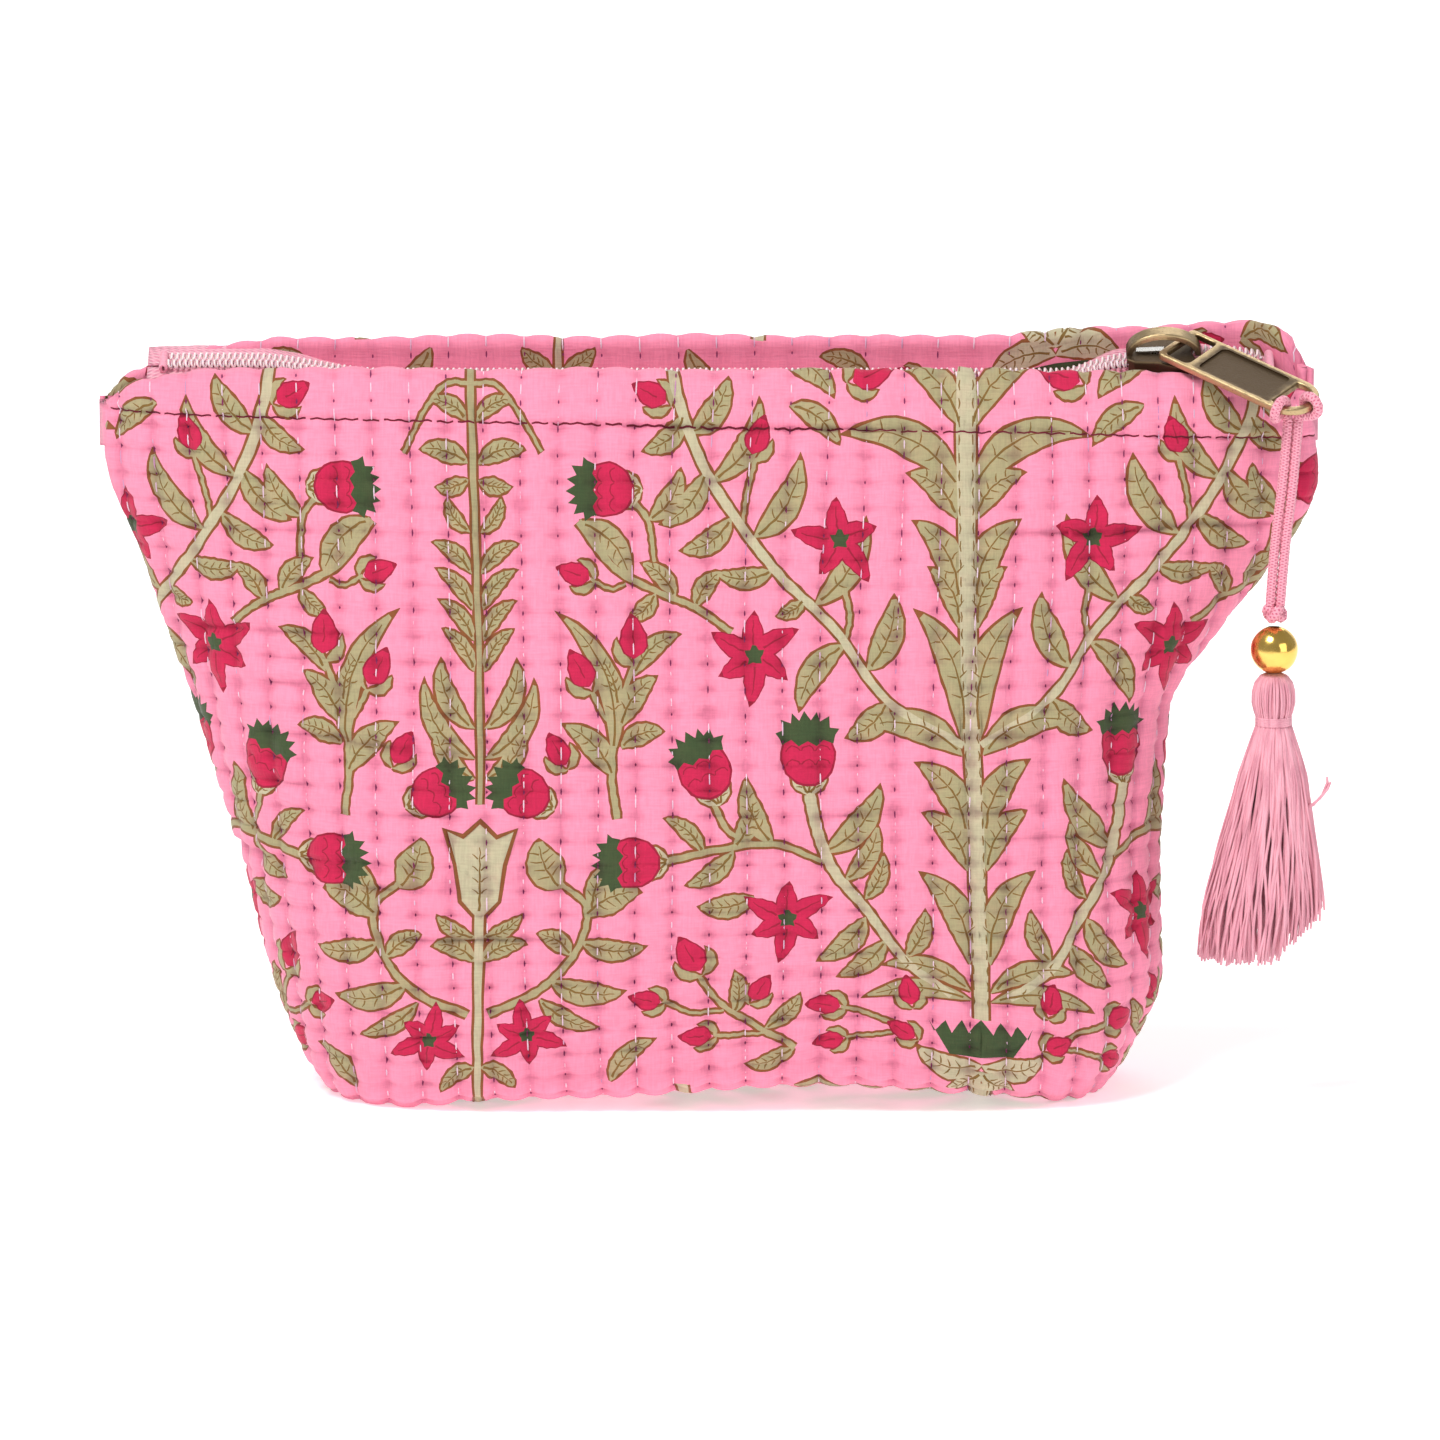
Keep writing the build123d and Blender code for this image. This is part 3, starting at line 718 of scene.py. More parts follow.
    # two thistles over the lower branch, which curls down into the thick stem's foot
    thistle((44.5, 69.5), 112, 12)
    stem([(46, 63), (49, 57), (54, 54)], 1.5)
    thistle((65.5, 72), 90, 12.5)
    stem([(65.5, 64), (67, 56), (70, 48), (76, 40), (84, 28), (93, 21)], 2.6, "pale")
    thistle((29.5, 51), 180, 11.5)
    stem([(36, 51), (46, 53), (58, 54), (68, 50)], 1.7)
    for base, tip, wide, bend in (
            ((44, 52.5), (36, 60), 2.8, -0.12), ((50, 53.5), (54, 64), 3.6, -0.12),
            ((58, 54), (53, 68), 4.0, 0.12), ((50, 53), (40, 46), 3.4, 0.12),
            ((68, 52), (80, 66), 4.6, -0.12), ((72, 46), (79, 58), 3.6, -0.12),
            ((76, 42), (80, 52), 3.0, -0.1)):
        leaf(base, tip, wide, bend)
    star((60.5, 38), 9.0, 84)
    for base, tip, wide, bend in (
            ((54, 43), (42.5, 41.5), 4.2, 0.1), ((76, 38), (66, 28), 4.2, 0.12),
            ((80, 33), (70, 24), 3.8, 0.1), ((84, 29), (88, 40), 3.6, -0.1)):
        leaf(base, tip, wide, bend)

    # buds along the foot
    stem([(62, 8), (54, 14), (47, 20), (43, 26)], 1.5)
    bud((41.5, 30.5), 118, 8)
    bud((33, 21.5), 165, 6)
    stem([(36, 21), (42, 18), (48, 18)], 1.1)
    bud((55, 22), 60, 6)
    bud((43, 12.5), 175, 6)
    stem([(46, 12.5), (52, 12), (56, 12)], 1.1)
    leaf((50, 17), (50, 27), 3.0, -0.1)
    leaf((56, 13), (63, 21), 3.2, -0.12)
    bud((68, 17.5), 170, 6.5)
    stem([(71, 17), (78, 15), (84, 12)], 1.2)
    bud((69, 9), 190, 5.5)
    stem([(72, 9.5), (78, 11), (84, 12)], 1.0)
    leaf((62, 8), (52, 5), 3.2, 0.1)
    bud((84.5, 21), 100, 6)

    # the thick stem: big fronds at its head, pairs of upright leaves, sprays and a crowned foot
    stem([(edge, 152), (edge, 80), (edge, 16)], 4.2, "pale")
    for base, tip, wide, bend in (
            ((edge - 1, 134), (edge - 15, 148), 4.6, -0.16), ((edge - 1, 122), (edge - 25, 133), 5.6, -0.2),
            ((edge - 2, 117), (edge - 12, 126), 4.4, -0.18), ((edge - 2, 101), (edge - 11, 117), 5.0, -0.16),
            ((edge - 2, 96), (edge - 8, 108), 4.0, -0.16), ((edge - 2, 74), (edge - 11, 100), 5.4, -0.14),
            ((edge - 2, 71), (edge - 22, 77), 5.2, -0.16), ((edge - 2, 55), (edge - 12, 70), 5.0, -0.16),
            ((edge - 2, 48), (edge - 11, 60), 4.4, -0.16), ((edge - 2, 28), (edge - 12, 48), 5.2, -0.14),
            ((edge - 2, 22), (edge - 20, 27), 3.6, -0.14), ((edge - 2, 20), (edge - 24, 19), 3.4, -0.12)):
        leaf(base, tip, wide, bend)
    for low in np.arange(19.0, 150.0, 3.4):
        block.ribbon("vein", [(edge - 1.35, low + rise) for rise in (0, 1, 2)], (0.1, 0.17, 0.1))
    block.shape("green", [(edge - 10.5, 15), (edge - 9.4, 12.4), (edge - 7.2, 15.2), (edge - 6, 12.6),
                          (edge - 3.8, 15.6), (edge - 2.4, 12.8), (edge, 16), (edge, 7.6), (edge - 6.4, 8.2)])
    leaf((edge, 6), (edge - 13, 9.4), 4.4, 0.18, "pale")
    leaf((edge, 4.4), (edge - 7, 0.5), 3.6, 0.1, "pale")
    bud((edge - 15.5, 12), 150, 5.5)
    return block.shapes


def printed(side):
    """The block stamped along one panel: mirrored at each stem and repeated upwards."""
    first = -46.8 if side < 0 else -29.0
    stamped = []
    shapes = half_repeat()
    whole = 2 * HALF_REPEAT
    for origin, way in ((first, 1), (first, -1), (first + whole, -1), (first - whole, 1)):
        for rise in (-REPEAT_HIGH, 0, REPEAT_HIGH):
            for ink, points in shapes:
                u, v = origin + way * points[:, 0], points[:, 1] + rise
                if u.max() < -125 or u.min() > 125 or v.max() < -44 or v.min() > 166:
                    continue
                u = u + 0.10 * np.sin(2.9 * v + u) + 0.9 * np.sin(v / 31 + u / 47) - 0.012 * (v - 70)
                v = v + 0.10 * np.sin(3.3 * u) + 0.7 * np.sin(u / 29)
                stamped.append((ink, np.stack([u, v], axis=1)))
    return stamped


def panel_edge(side):
    """The cut edge of one panel on the flat: up the left seam, along the turned-in end and back."""
    levels = np.arange(0, 139, 1.5)
    left, right = (np.interp(levels, UP_LEVELS, seam_ends[:, k]) for k in (0, 1))
    top_u = np.linspace(left[-1], right[-1], 170)
    top_v = along(RIM[side], looked_up(table_x, top_u, np.full_like(top_u, RIM_LOOKED_UP)))
    top_v = top_v - FOLD + math.pi * FOLD + TURNED_IN
    low_u = np.linspace(seam_ends[0, 1], seam_ends[0, 0], 150)[1:-1]
    low_v = -np.maximum(0.05, np.interp(low_u, FLAT_U, base_depth))
    rise_left = np.arange(140, top_v[0] - 0.7, 1.5)
    rise_right = np.arange(140, top_v[-1] - 0.7, 1.5)[::-1]
    return np.concatenate([
        np.stack([left, levels], axis=1),
        np.stack([np.full_like(rise_left, left[-1]), rise_left], axis=1),
        np.stack([top_u, top_v], axis=1),
        np.stack([np.full_like(rise_right, right[-1]), rise_right], axis=1),
        np.stack([right, levels], axis=1)[::-1],
        np.stack([low_u, low_v], axis=1),
    ])


def dive_points(side):
    """Where the quilting thread dives, row by row, on the flat."""
    dots = []
    for row in range(-17, 18):
        for beat in range(-8, 32):
            v = beat * STITCH_PITCH
            u = row * ROW_GAP
            for _ in range(3):
                u = row * ROW_GAP - float(row_drift(np.array(u), np.array(v)))
            dots.append((row, beat, u, v - 0.25 * math.sin(u / 9)))
    return dots


def inside(edge, u, v):
    """Whether flat positions lie within a closed edge."""
    hit = np.zeros(np.shape(u), dtype=bool)
    for (x0, y0), (x1, y1) in zip(edge, np.roll(edge, -1, axis=0)):
        if y0 != y1:
            crossing = ((y0 > v) != (y1 > v)) & (u < (x1 - x0) * (v - y0) / (y1 - y0) + x0)
            hit ^= crossing
    return hit


def trimmed(points, low, high):
    """A closed outline cut down to a square."""
    for axis in (0, 1):
        for limit, way in ((low[axis], 1), (high[axis], -1)):
            if not len(points):
                return points
            held = (points[:, axis] - limit) * way >= 0
            if held.all():
                continue
            kept = []
            for p, q, p_in, q_in in zip(points, np.roll(points, -1, axis=0), held, np.roll(held, -1)):
                if p_in:
                    kept.append(p)
                if p_in != q_in:
                    one, two = (p, q) if p[axis] < q[axis] else (q, p)
                    crossing = one + (two - one) * (limit - one[axis]) / (two[axis] - one[axis])
                    crossing[axis] = limit
                    kept.append(crossing)
            points = np.array(kept)
    return points


FINE = 1.25
SQUARE = 12 * FINE
SEWN_STEP = 2.1


def cut_cloth(side):
    """The panel on the flat, cut square by square: its points, and its triangles with their inks."""
    edge = panel_edge(side)
    shapes = [("ground", edge)] + printed(side)
    seam = RIM_SEAM[side]
    for low in np.arange(-122, 122, SEWN_STEP):
        run = np.linspace(low, low + (SEWN_STEP if math.sin(low * 1.7) > -0.6 else 1.2), 4)
        line = np.stack([run, along(seam, run) + 0.12 * np.sin(run * 2.3)], axis=1)
        shapes.append(("seam", np.concatenate([line + (0, 0.17), (line - (0, 0.17))[::-1]])))
    # painted shade: a small dark spot is printed over each place where the quilting thread dives, for the shade
    # in the dimple there
    ring = np.linspace(0, 2 * math.pi, 7, endpoint=False)
    for row, beat, at_u, at_v in dive_points(side):
        if math.sin(row * 3.1 + beat * 1.9) > -0.75:
            long = 0.55 + 0.25 * math.sin(row + 2.3 * beat)
            spot = np.stack([at_u + 0.17 * np.cos(ring), at_v + long * np.sin(ring)], axis=1)
            shapes.append(("dot", spot))
    lows = np.array([outline.min(axis=0) for _, outline in shapes])
    highs = np.array([outline.max(axis=0) for _, outline in shapes])
    ranks = [ORDER.index(ink) for ink, _ in shapes]
    number, flat, cells = {}, [], []
    for i in range(-9, 9):
        for j in range(-3, 12):
            low = np.array([i * SQUARE, j * SQUARE])
            high = low + SQUARE
            near = np.nonzero(((lows < high) & (highs > low)).all(axis=1))[0]
            if not len(near) or near[0] != 0:
                continue
            corners = np.array([low, (high[0], low[1]), high, (low[0], high[1])])
            if not inside(corners, edge[:, 0], edge[:, 1]).any():
                near = near[1:]
            u, v = np.meshgrid(np.arange(13) * FINE + low[0], np.arange(13) * FINE + low[1])
            shift = np.where(np.arange(13) % 2, 0.5 * FINE, 0.0)[:, None]
            u[:, 1:-1] += shift - 0.25 * FINE
            points = list(zip(u.ravel().tolist(), v.ravel().tolist()))
            for off in (-0.75, -0.35, 0.35, 0.75):
                points += [(a, b) for a in np.arange(low[0] + 0.4, high[0] - 0.2, 1.1)
                           for b in [float(along(seam, a)) + off] if low[1] < b < high[1]]
            cuts, held = [], []
            for k in near:
                piece = trimmed(shapes[k][1], low, high)
                if len(piece) > 2:
                    first, count = len(points), len(piece)
                    cuts += [(first + n, first + (n + 1) % count) for n in range(count)]
                    points += [tuple(p) for p in piece]
                    held.append(k)
            made = delaunay_2d_cdt([Vector(p) for p in points], cuts, [], 0, 1e-4)
            spots = np.array([p[:] for p in made[0]])[np.array([face[:3] for face in made[2]])].mean(axis=1)
            inked = np.zeros(len(spots), dtype=int)
            for k in held:
                if ranks[k]:
                    covered = inside(shapes[k][1], spots[:, 0], spots[:, 1])
                    inked[covered] = np.maximum(inked[covered], ranks[k])
            names = []
            for p in made[0]:
                key = (round(p[0], 3), round(p[1], 3))
                if key not in number:
                    number[key] = len(flat)
                    flat.append((p[0], p[1]))
                names.append(number[key])
            for face, ink in zip(made[2], inked):
                cell = [names[n] for n in face]
                if len(set(cell)) == 3:
                    cells.append((cell, int(ink)))
    flat = np.array(flat)
    corners = flat[np.array([cell for cell, _ in cells])]
    (u1, v1), (u2, v2) = (corners[:, 1] - corners[:, 0]).T, (corners[:, 2] - corners[:, 0]).T
    middle = corners.mean(axis=1)
    kept = inside(edge, middle[:, 0], middle[:, 1]) & (np.abs(u1 * v2 - u2 * v1) > 1e-6)
    return flat, [cell for cell, hold in zip(cells, kept) if hold]


def cloth_piece(name, side):
    """One panel as a closed sheet: the printed face with its quilting, and a plain inner face."""
    flat, cells = cut_cloth(side)
    u, v = flat[:, 0], flat[:, 1]
    shell = cloth_at(u, v, side) + facing_out(u, v, side) * quilted(u, v, side)[:, None]
    used = sorted({i for face, _ in cells for i in face})
    index = {old: new for new, old in enumerate(used)}
    verts = shell[used] * MM
    faces, tints = [], []
    for face, rank in cells:
        turned = [index[i] for i in face]
        faces.append(turned if side < 0 else turned[::-1])
        tints.append(rank)
    # the plain inner face runs to the same cut edge, below the dips of the stitches
    count = {}
    for face in faces:
        for a, b in zip(face, face[1:] + face[:1]):
            count[(a, b)] = count.get((a, b), 0) + 1
    rimmed = {a: b for (a, b) in count if (b, a) not in count}
    start = next(iter(rimmed))
    loop = [start]
    while rimmed[loop[-1]] != start and len(loop) <= len(rimmed):
        loop.append(rimmed[loop[-1]])
    rim_flat = np.array([flat[used[i]] for i in loop])
    gu, gv = np.meshgrid(np.arange(-126, 126, 3.5), np.arange(-42, 163, 3.5))
    keep = inside(rim_flat, gu, gv)
    for off in (-1.6, 1.6):
        keep &= inside(rim_flat, gu + off, gv) & inside(rim_flat, gu, gv + off)
    lining_flat = [tuple(p) for p in rim_flat] + list(zip(gu[keep].tolist(), gv[keep].tolist()))
    back = delaunay_2d_cdt([Vector(p) for p in lining_flat], [], [list(range(len(rim_flat)))], 1, 1e-5)
    bu, bv = (np.array([p[k] for p in back[0]]) for k in (0, 1))
    depth = swell(bu, bv, side) - 2 * CLOTH_THICK
    inner = cloth_at(bu, bv, side) + facing_out(bu, bv, side) * depth[:, None]
    base = len(verts)
    own = {}
    for new, olds in enumerate(back[3]):
        for old in olds:
            if old < len(loop):
                own[old] = base + new
    for face in back[2]:
        turned = [base + i for i in face]
        signed = sum(bu[a] * bv[b] - bu[b] * bv[a] for a, b in zip(face, list(face[1:]) + [face[0]]))
        if (signed > 0) == (side < 0):
            turned = turned[::-1]
        faces.append(turned)
        tints.append(0)
    for k in range(len(loop)):
        n = (k + 1) % len(loop)
        faces.append([loop[n], loop[k], own[k], own[n]])
        tints.append(0)
    piece = new_piece(name, np.concatenate([verts, inner * MM]).tolist(), faces)
    mesh = piece.data
    colours = np.array([(*INKS[ORDER[t]], 1) for t in tints])
    sizes = [len(face) for face in faces]
    layer = mesh.color_attributes.new("print", "FLOAT_COLOR", "CORNER")
    layer.data.foreach_set("color", np.repeat(colours, sizes, axis=0).ravel())
    all_flat = np.concatenate([flat[used], np.stack([bu, bv], axis=1)]) * MM
    # painted shade: each point gets a number for how low it lies in the quilting's valleys and creases, and that
    # number darkens the cloth's colour there
    hollow = mesh.attributes.new("hollow", "FLOAT", "POINT")
    low = np.clip(0.75 - (quilted(u, v, side) - swell(u, v, side))[used], 0, 1)
    hollow.data.foreach_set("value", np.concatenate([low, np.zeros(len(inner))]))
    spread = mesh.uv_layers.new(name="cut")
    loops = np.array([loop_.vertex_index for loop_ in mesh.loops])
    spread.data.foreach_set("uv", all_flat[loops].ravel())
    mesh.validate()
    return piece


def block_print():
    finish = Finish("block-printed cotton", Roughness=0.82, Sheen_Weight=0.18, Sheen_Roughness=0.5,
                    Specular_IOR_Level=0.25)
    ink = finish.node("VertexColor", {"layer_name": "print"})
    patchy = finish.noise(260.0, 4, 0.65)
    warp = finish.noise(1.0, 2, at=finish.place((2600, 260, 1), "cut"))
    weft = finish.noise(1.0, 2, at=finish.place((260, 2600, 1), "cut"))
    grain = (warp + weft) * 0.5
    worn = finish.blend(finish.fade(patchy, 0.35, 0.75, 0.0, 0.30), ink, (0.93, 0.62, 0.66), "SOFT_LIGHT")
    shade = finish.blend(finish.fade(grain, 0.38, 0.62), (0.86, 0.83, 0.85), (1.0, 1.0, 1.0))
    # painted shade: the cloth's colour is darkened towards a dusky mauve where it lies low in the quilting's
    # valleys and creases
    hollow = finish.node("Attribute", {"attribute_name": "hollow"}, out=2)
    depth = finish.fade(hollow, 0.05, 1.0, 0.0, 0.75)
    crease_shade_tone = finish.blend(depth, (1.0, 1.0, 1.0), (0.66, 0.52, 0.60))
    tone = finish.blend(0.8, worn, shade, "MULTIPLY")
    finish.feed(Base_Color=finish.blend(1.0, tone, crease_shade_tone, "MULTIPLY"))
    finish.relief(grain, 0.00018)
    return finish


cotton = block_print()
for side, name in SIDES:
    panel = cloth_piece(name + "_panel_cloth", side)
    fit(panel, cotton, "bag", name + "_panel")
    name + "_wadding_pad"

# ---- quilting stitches -------------------------------------------------------------------------
# White cotton thread in running stitch, by hand: about three millimetres on the face, then it dives
# and runs two under the cloth. Some stitches are painted darker, as shade on thread that sinks deeper.
THREAD = 0.32
STITCH_LONG = 3.3
HOLD_IN = 1.5
BARE_SHARE = 0.10


def tube_faces(first, rings, sides):
    """The faces of one closed tube whose points begin at a number."""
    around = [(k, (k + 1) % sides) for k in range(sides)]
    faces = [(first + i * sides + k, first + i * sides + n, first + (i + 1) * sides + n,
              first + (i + 1) * sides + k) for i in range(rings - 1) for k, n in around]
    last = first + (rings - 1) * sides
    return faces + [tuple(range(first, first + sides))[::-1], tuple(range(last, last + sides))]


def stitches(name, side):
    """All the running stitches of one panel, each a short thread that bows over the cloth."""
    edge = panel_edge(side)
    verts, faces, shades = [], [], []
    dots = {(row, beat): (u, v) for row, beat, u, v in dive_points(side)}
    own = random.Random(5 + side)
    sides, rings = 5, 6
    runs = [(spot, dots[(spot[0], spot[1] + 1)]) for spot in sorted(dots) if (spot[0], spot[1] + 1) in dots]
    ends = np.array([dots[spot] + ahead for spot, ahead in runs])
    on_cloth = np.all([inside(edge, ends[:, k] + off, ends[:, k + 1])
                       for k in (0, 2) for off in (-HOLD_IN, HOLD_IN)], axis=0)
    for (spot, ahead), sewn_here in zip(runs, on_cloth):
        u0, v0 = dots[spot]
        long = STITCH_LONG * own.uniform(0.75, 1.15) / STITCH_PITCH
        low = (1 - long) / 2 + own.uniform(-0.04, 0.04)
        stitch_shade, bare = own.random(), own.random()
        t = np.linspace(low, low + long, rings)
        u, v = u0 + t * (ahead[0] - u0), v0 + t * (ahead[1] - v0)
        if bare < BARE_SHARE or not sewn_here:
            continue
        lift = quilted(u, v, side) + 0.20 * np.sin(math.pi * np.linspace(0, 1, rings)) ** 0.6 - 0.12
        normal = facing_out(u, v, side)
        line = (cloth_at(u, v, side) + normal * lift[:, None]) * MM
        thin = THREAD / 2 * MM * np.array([0.45, 0.9, 1, 1, 0.9, 0.45])
        across = np.cross(np.gradient(line, axis=0), normal)
        across /= np.linalg.norm(across, axis=1)[:, None]
        first = len(verts)
        for point, up, aside, half in zip(line, normal, across, thin):
            for k in range(sides):
                turn = 2 * math.pi * k / sides
                verts.append(point + half * (math.cos(turn) * aside + math.sin(turn) * up))
        faces += tube_faces(first, rings, sides)
        shades += [stitch_shade] * ((rings - 1) * sides + 2)
    piece = new_piece(name, [tuple(p) for p in verts], faces)
    sizes = [len(face) for face in faces]
    # painted shade: stitches with a high random value are coloured dark purple instead of lilac-white, as thread
    # sunk into shade
    colours = [(0.82 - 0.35 * s ** 3, 0.62 - 0.46 * s ** 3, 0.74 - 0.36 * s ** 3, 1) for s in shades]
    layer = piece.data.color_attributes.new("thread", "FLOAT_COLOR", "CORNER")
    layer.data.foreach_set("color", np.repeat(np.array(colours), sizes, axis=0).ravel())
    return piece


def cotton_thread():
    finish = Finish("cotton thread", Roughness=0.6, Sheen_Weight=0.3)
    shade = finish.node("VertexColor", {"layer_name": "thread"})
    twist = finish.noise(4200.0, 2)
    soiled = finish.fade(twist, 0.3, 0.7, 0.0, 0.35)
    finish.feed(Base_Color=finish.blend(soiled, shade, (0.66, 0.42, 0.56)))
    finish.relief(twist, 0.00005)
    return finish


thread = cotton_thread()
for side, name in SIDES:
    fit(stitches(name + "_quilting_stitches", side), thread, "bag")

# ---- wadding, lining and bound seams -----------------------------------------------------------
# Inside the printed face lie loose cotton wadding and a plain white backing, which is the lining.
# Bias tape binds the allowances of the seams, and a blank satin label is caught in the right one.
LINING_AT, LINING_THICK = 3.6, 0.5
WADDING_FROM, WADDING_TO = 2.4, 3.4
LINING_TOP, WADDING_TOP = 136.5, 139.0
BASE_LIFT = 2.0


def layer_rows(side, inset, top, across=70, sag=0.0):
    """An inner layer of one wall and half of the base, in rows from the base's middle to the top."""
    shares = np.sin(np.linspace(-math.pi / 2, math.pi / 2, across))
    rows = []
    low_x, low_out = wall_row(BASE_LIFT, shares, inset)
    arch = along(ARCH, low_x) * ARCH_SHARE[side]
    for share in np.linspace(0.02, 0.97, 10):
        z = inset + arch * share ** 0.85
        rows.append(np.stack([low_x, middle_y(inset) + side * low_out * share, z + 0 * low_x], axis=1))
    for z in np.linspace(BASE_LIFT + inset, top, 56):
        x, out = wall_row(z, shares, inset)
        lean = LEAN_IN[side] * np.clip((z - 136) / 10, 0, 1) ** 2
        ripple = sag * np.sin(x / 3.7 * math.pi) * np.sin(z / 5 * math.pi)
        out = np.maximum(0.15, out - lean * np.clip(out / 6, 0, 1) + ripple * np.clip(out / 8, 0, 1))
        lifted = z + along(ARCH, x) * ARCH_SHARE[side] * np.exp(-(z / 34) ** 2)
        rows.append(np.stack([x, middle_y(z) + side * out, lifted], axis=1))
    return np.array(rows) * MM


def only(*pieces):
    """Select these pieces alone, the first one active."""
    bpy.ops.object.select_all(action="DESELECT")
    for piece in pieces:
        piece.select_set(True)
    bpy.context.view_layer.objects.active = pieces[0]


def thickened(piece, thick, offset):
    """A sheet given its thickness, in millimetres."""
    solid = piece.modifiers.new("thickness", "SOLIDIFY")
    solid.thickness, solid.offset = thick * MM, offset
    bpy.context.view_layer.objects.active = piece
    bpy.ops.object.modifier_apply(modifier="thickness")
    return piece


def layer(name, side, outer, inner, top):
    """A closed layer between two insets."""
    out_rows, in_rows = (layer_rows(side, inset, top, sag=0.15) for inset in (outer, inner))
    rows = np.concatenate([out_rows, in_rows[::-1]])
    if side > 0:
        rows = rows[:, ::-1]
    piece = grid_mesh(name, rows, closed_along=True)
    only(piece)
    bpy.ops.object.mode_set(mode="EDIT")
    bpy.ops.mesh.select_all(action="SELECT")
    bpy.ops.mesh.remove_doubles(threshold=0.00002)
    bpy.ops.mesh.select_all(action="DESELECT")
    bpy.ops.mesh.select_non_manifold(extend=False)
    bpy.ops.mesh.fill_holes(sides=0)
    bpy.ops.mesh.select_all(action="SELECT")
    bpy.ops.mesh.normals_make_consistent(inside=False)
    bpy.ops.object.mode_set(mode="OBJECT")
    return piece


def plain_cotton():
    finish = Finish("plain white cotton", Roughness=0.85, Sheen_Weight=0.2)
    weave = finish.node("TexBrick", {"offset": 0.5}, {
        "Vector": finish.place(), "Scale": 1500.0, "Color1": (1, 1, 1, 1), "Color2": (0.86, 0.86, 0.86, 1),
        "Mortar": (0.35, 0.35, 0.35, 1), "Mortar Size": 0.03})
    cloudy = finish.noise(120.0, 3)
    finish.feed(Base_Color=finish.blend(cloudy, (0.90, 0.87, 0.83), (0.80, 0.77, 0.74)))
    finish.relief(weave, 0.00012)
    return finish


def loose_wadding():
    finish = Finish("cotton wadding", Roughness=0.95, Sheen_Weight=0.4)
    tufts = finish.noise(300.0, 6, 0.7)
    finish.feed(Base_Color=finish.blend(tufts, (0.80, 0.78, 0.72), (0.93, 0.92, 0.88)))
    finish.relief(tufts, 0.0012)
    return finish


def bias_tape():
    finish = Finish("cotton bias tape", Roughness=0.85)
    rib = finish.node("TexWave", {"bands_direction": "DIAGONAL"}, {
        "Vector": finish.place(), "Scale": 700.0, "Distortion": 0.6})
    finish.feed(Base_Color=finish.blend(rib, (0.76, 0.74, 0.69), (0.90, 0.88, 0.84)))
    finish.relief(rib, 0.0001)
    return finish


white_cotton, wadding, tape_binding = plain_cotton(), loose_wadding(), bias_tape()
for side, name in SIDES:
    pad = layer(name + "_wadding_pad", side, WADDING_FROM, WADDING_TO, WADDING_TOP)
    fit(pad, wadding, "bag", name + "_wadding")
    name + "_lining_cloth"
    lined = layer(name + "_lining_cloth", side, LINING_AT, LINING_AT + LINING_THICK, LINING_TOP)
    fit(lined, white_cotton, "bag", name + "_lining")
    name + "_wadding_pad"
for name in ("base_seam_binding", "left_seam_binding", "right_seam_binding", "left_corner_binding",
             "right_corner_binding"):
    tape_binding.dress(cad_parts[name])


def satin_label():
    """A folded ribbon, its free end a little curled."""
    low, high = Vector((91.6, 3.35, 120.4)), Vector((104.4, 3.35, 140.8))
    rows = []
    for z in np.linspace(low.z, high.z, 24):
        curl = 0.5 * math.sin((z - low.z) / (high.z - low.z) * math.pi) + 0.02 * (high.z - z) * 0.5
        rows.append([(x, low.y - 0.35 * curl - 0.05 * math.sin((x - low.x) / 4), z)
                     for x in np.linspace(low.x, high.x, 16)])
    return thickened(grid_mesh("care_label_ribbon", np.array(rows) * MM), 0.25, 0)


def white_satin():
    finish = Finish("white satin", Roughness=0.35, Sheen_Weight=0.2)
    threads = finish.noise(1.0, 2, at=finish.place((400, 400, 9000)))
    finish.feed(Base_Color=finish.blend(threads, (0.84, 0.83, 0.82), (0.95, 0.95, 0.94)))
    finish.relief(threads, 0.00005)
    return finish


label = satin_label()
fit(label, white_satin(), "bag", "care_label")

# ---- zip ---------------------------------------------------------------------------------------
# Pink woven tapes with a nylon coil sewn along each edge. The chain is closed up to the slider,
# sinks a little behind the front rim along its middle, and opens round the slider's far side.
CHAIN_Y, CHAIN_Z, CHAIN_ROLL, SLIDER_X = -2.0, 146.6, 26.0, 90.0
CHAIN_LEFT, CHAIN_RIGHT = -109.0, 110.0
COIL_TURN = 1.15
COIL_WIRE = 0.27
TAPE_ROWS, TAPE_WIDE = 14, 0.011
TACK_TURNS = 9
COIL_SPREAD = ((-120, 1.2), (-1.5, 1.2), (1.5, 1.9), (4.0, 2.9), (8.0, 4.2), (12.5, 4.2), (20, 2.2), (24, 1.6))


def sunk(x):
    """How far the chain sinks between the slider and the left end, 0 to 1."""
    left, right = np.clip((x + 92) / 26, 0, 1), np.clip((83 - x) / 14, 0, 1)
    return (left * left * (3 - 2 * left)) * (right * right * (3 - 2 * right))


def on_chain(x, across, high):
    """A point of the chain: across it, towards the back, and above it."""
    sink = sunk(x)
    roll = np.radians(CHAIN_ROLL - 14 * sink)
    y = CHAIN_Y + across * np.cos(roll) - high * np.sin(roll)
    z = CHAIN_Z - 2.7 * sink + across * np.sin(roll) + high * np.cos(roll)
    return np.stack(np.broadcast_arrays(x, y, z), axis=-1)


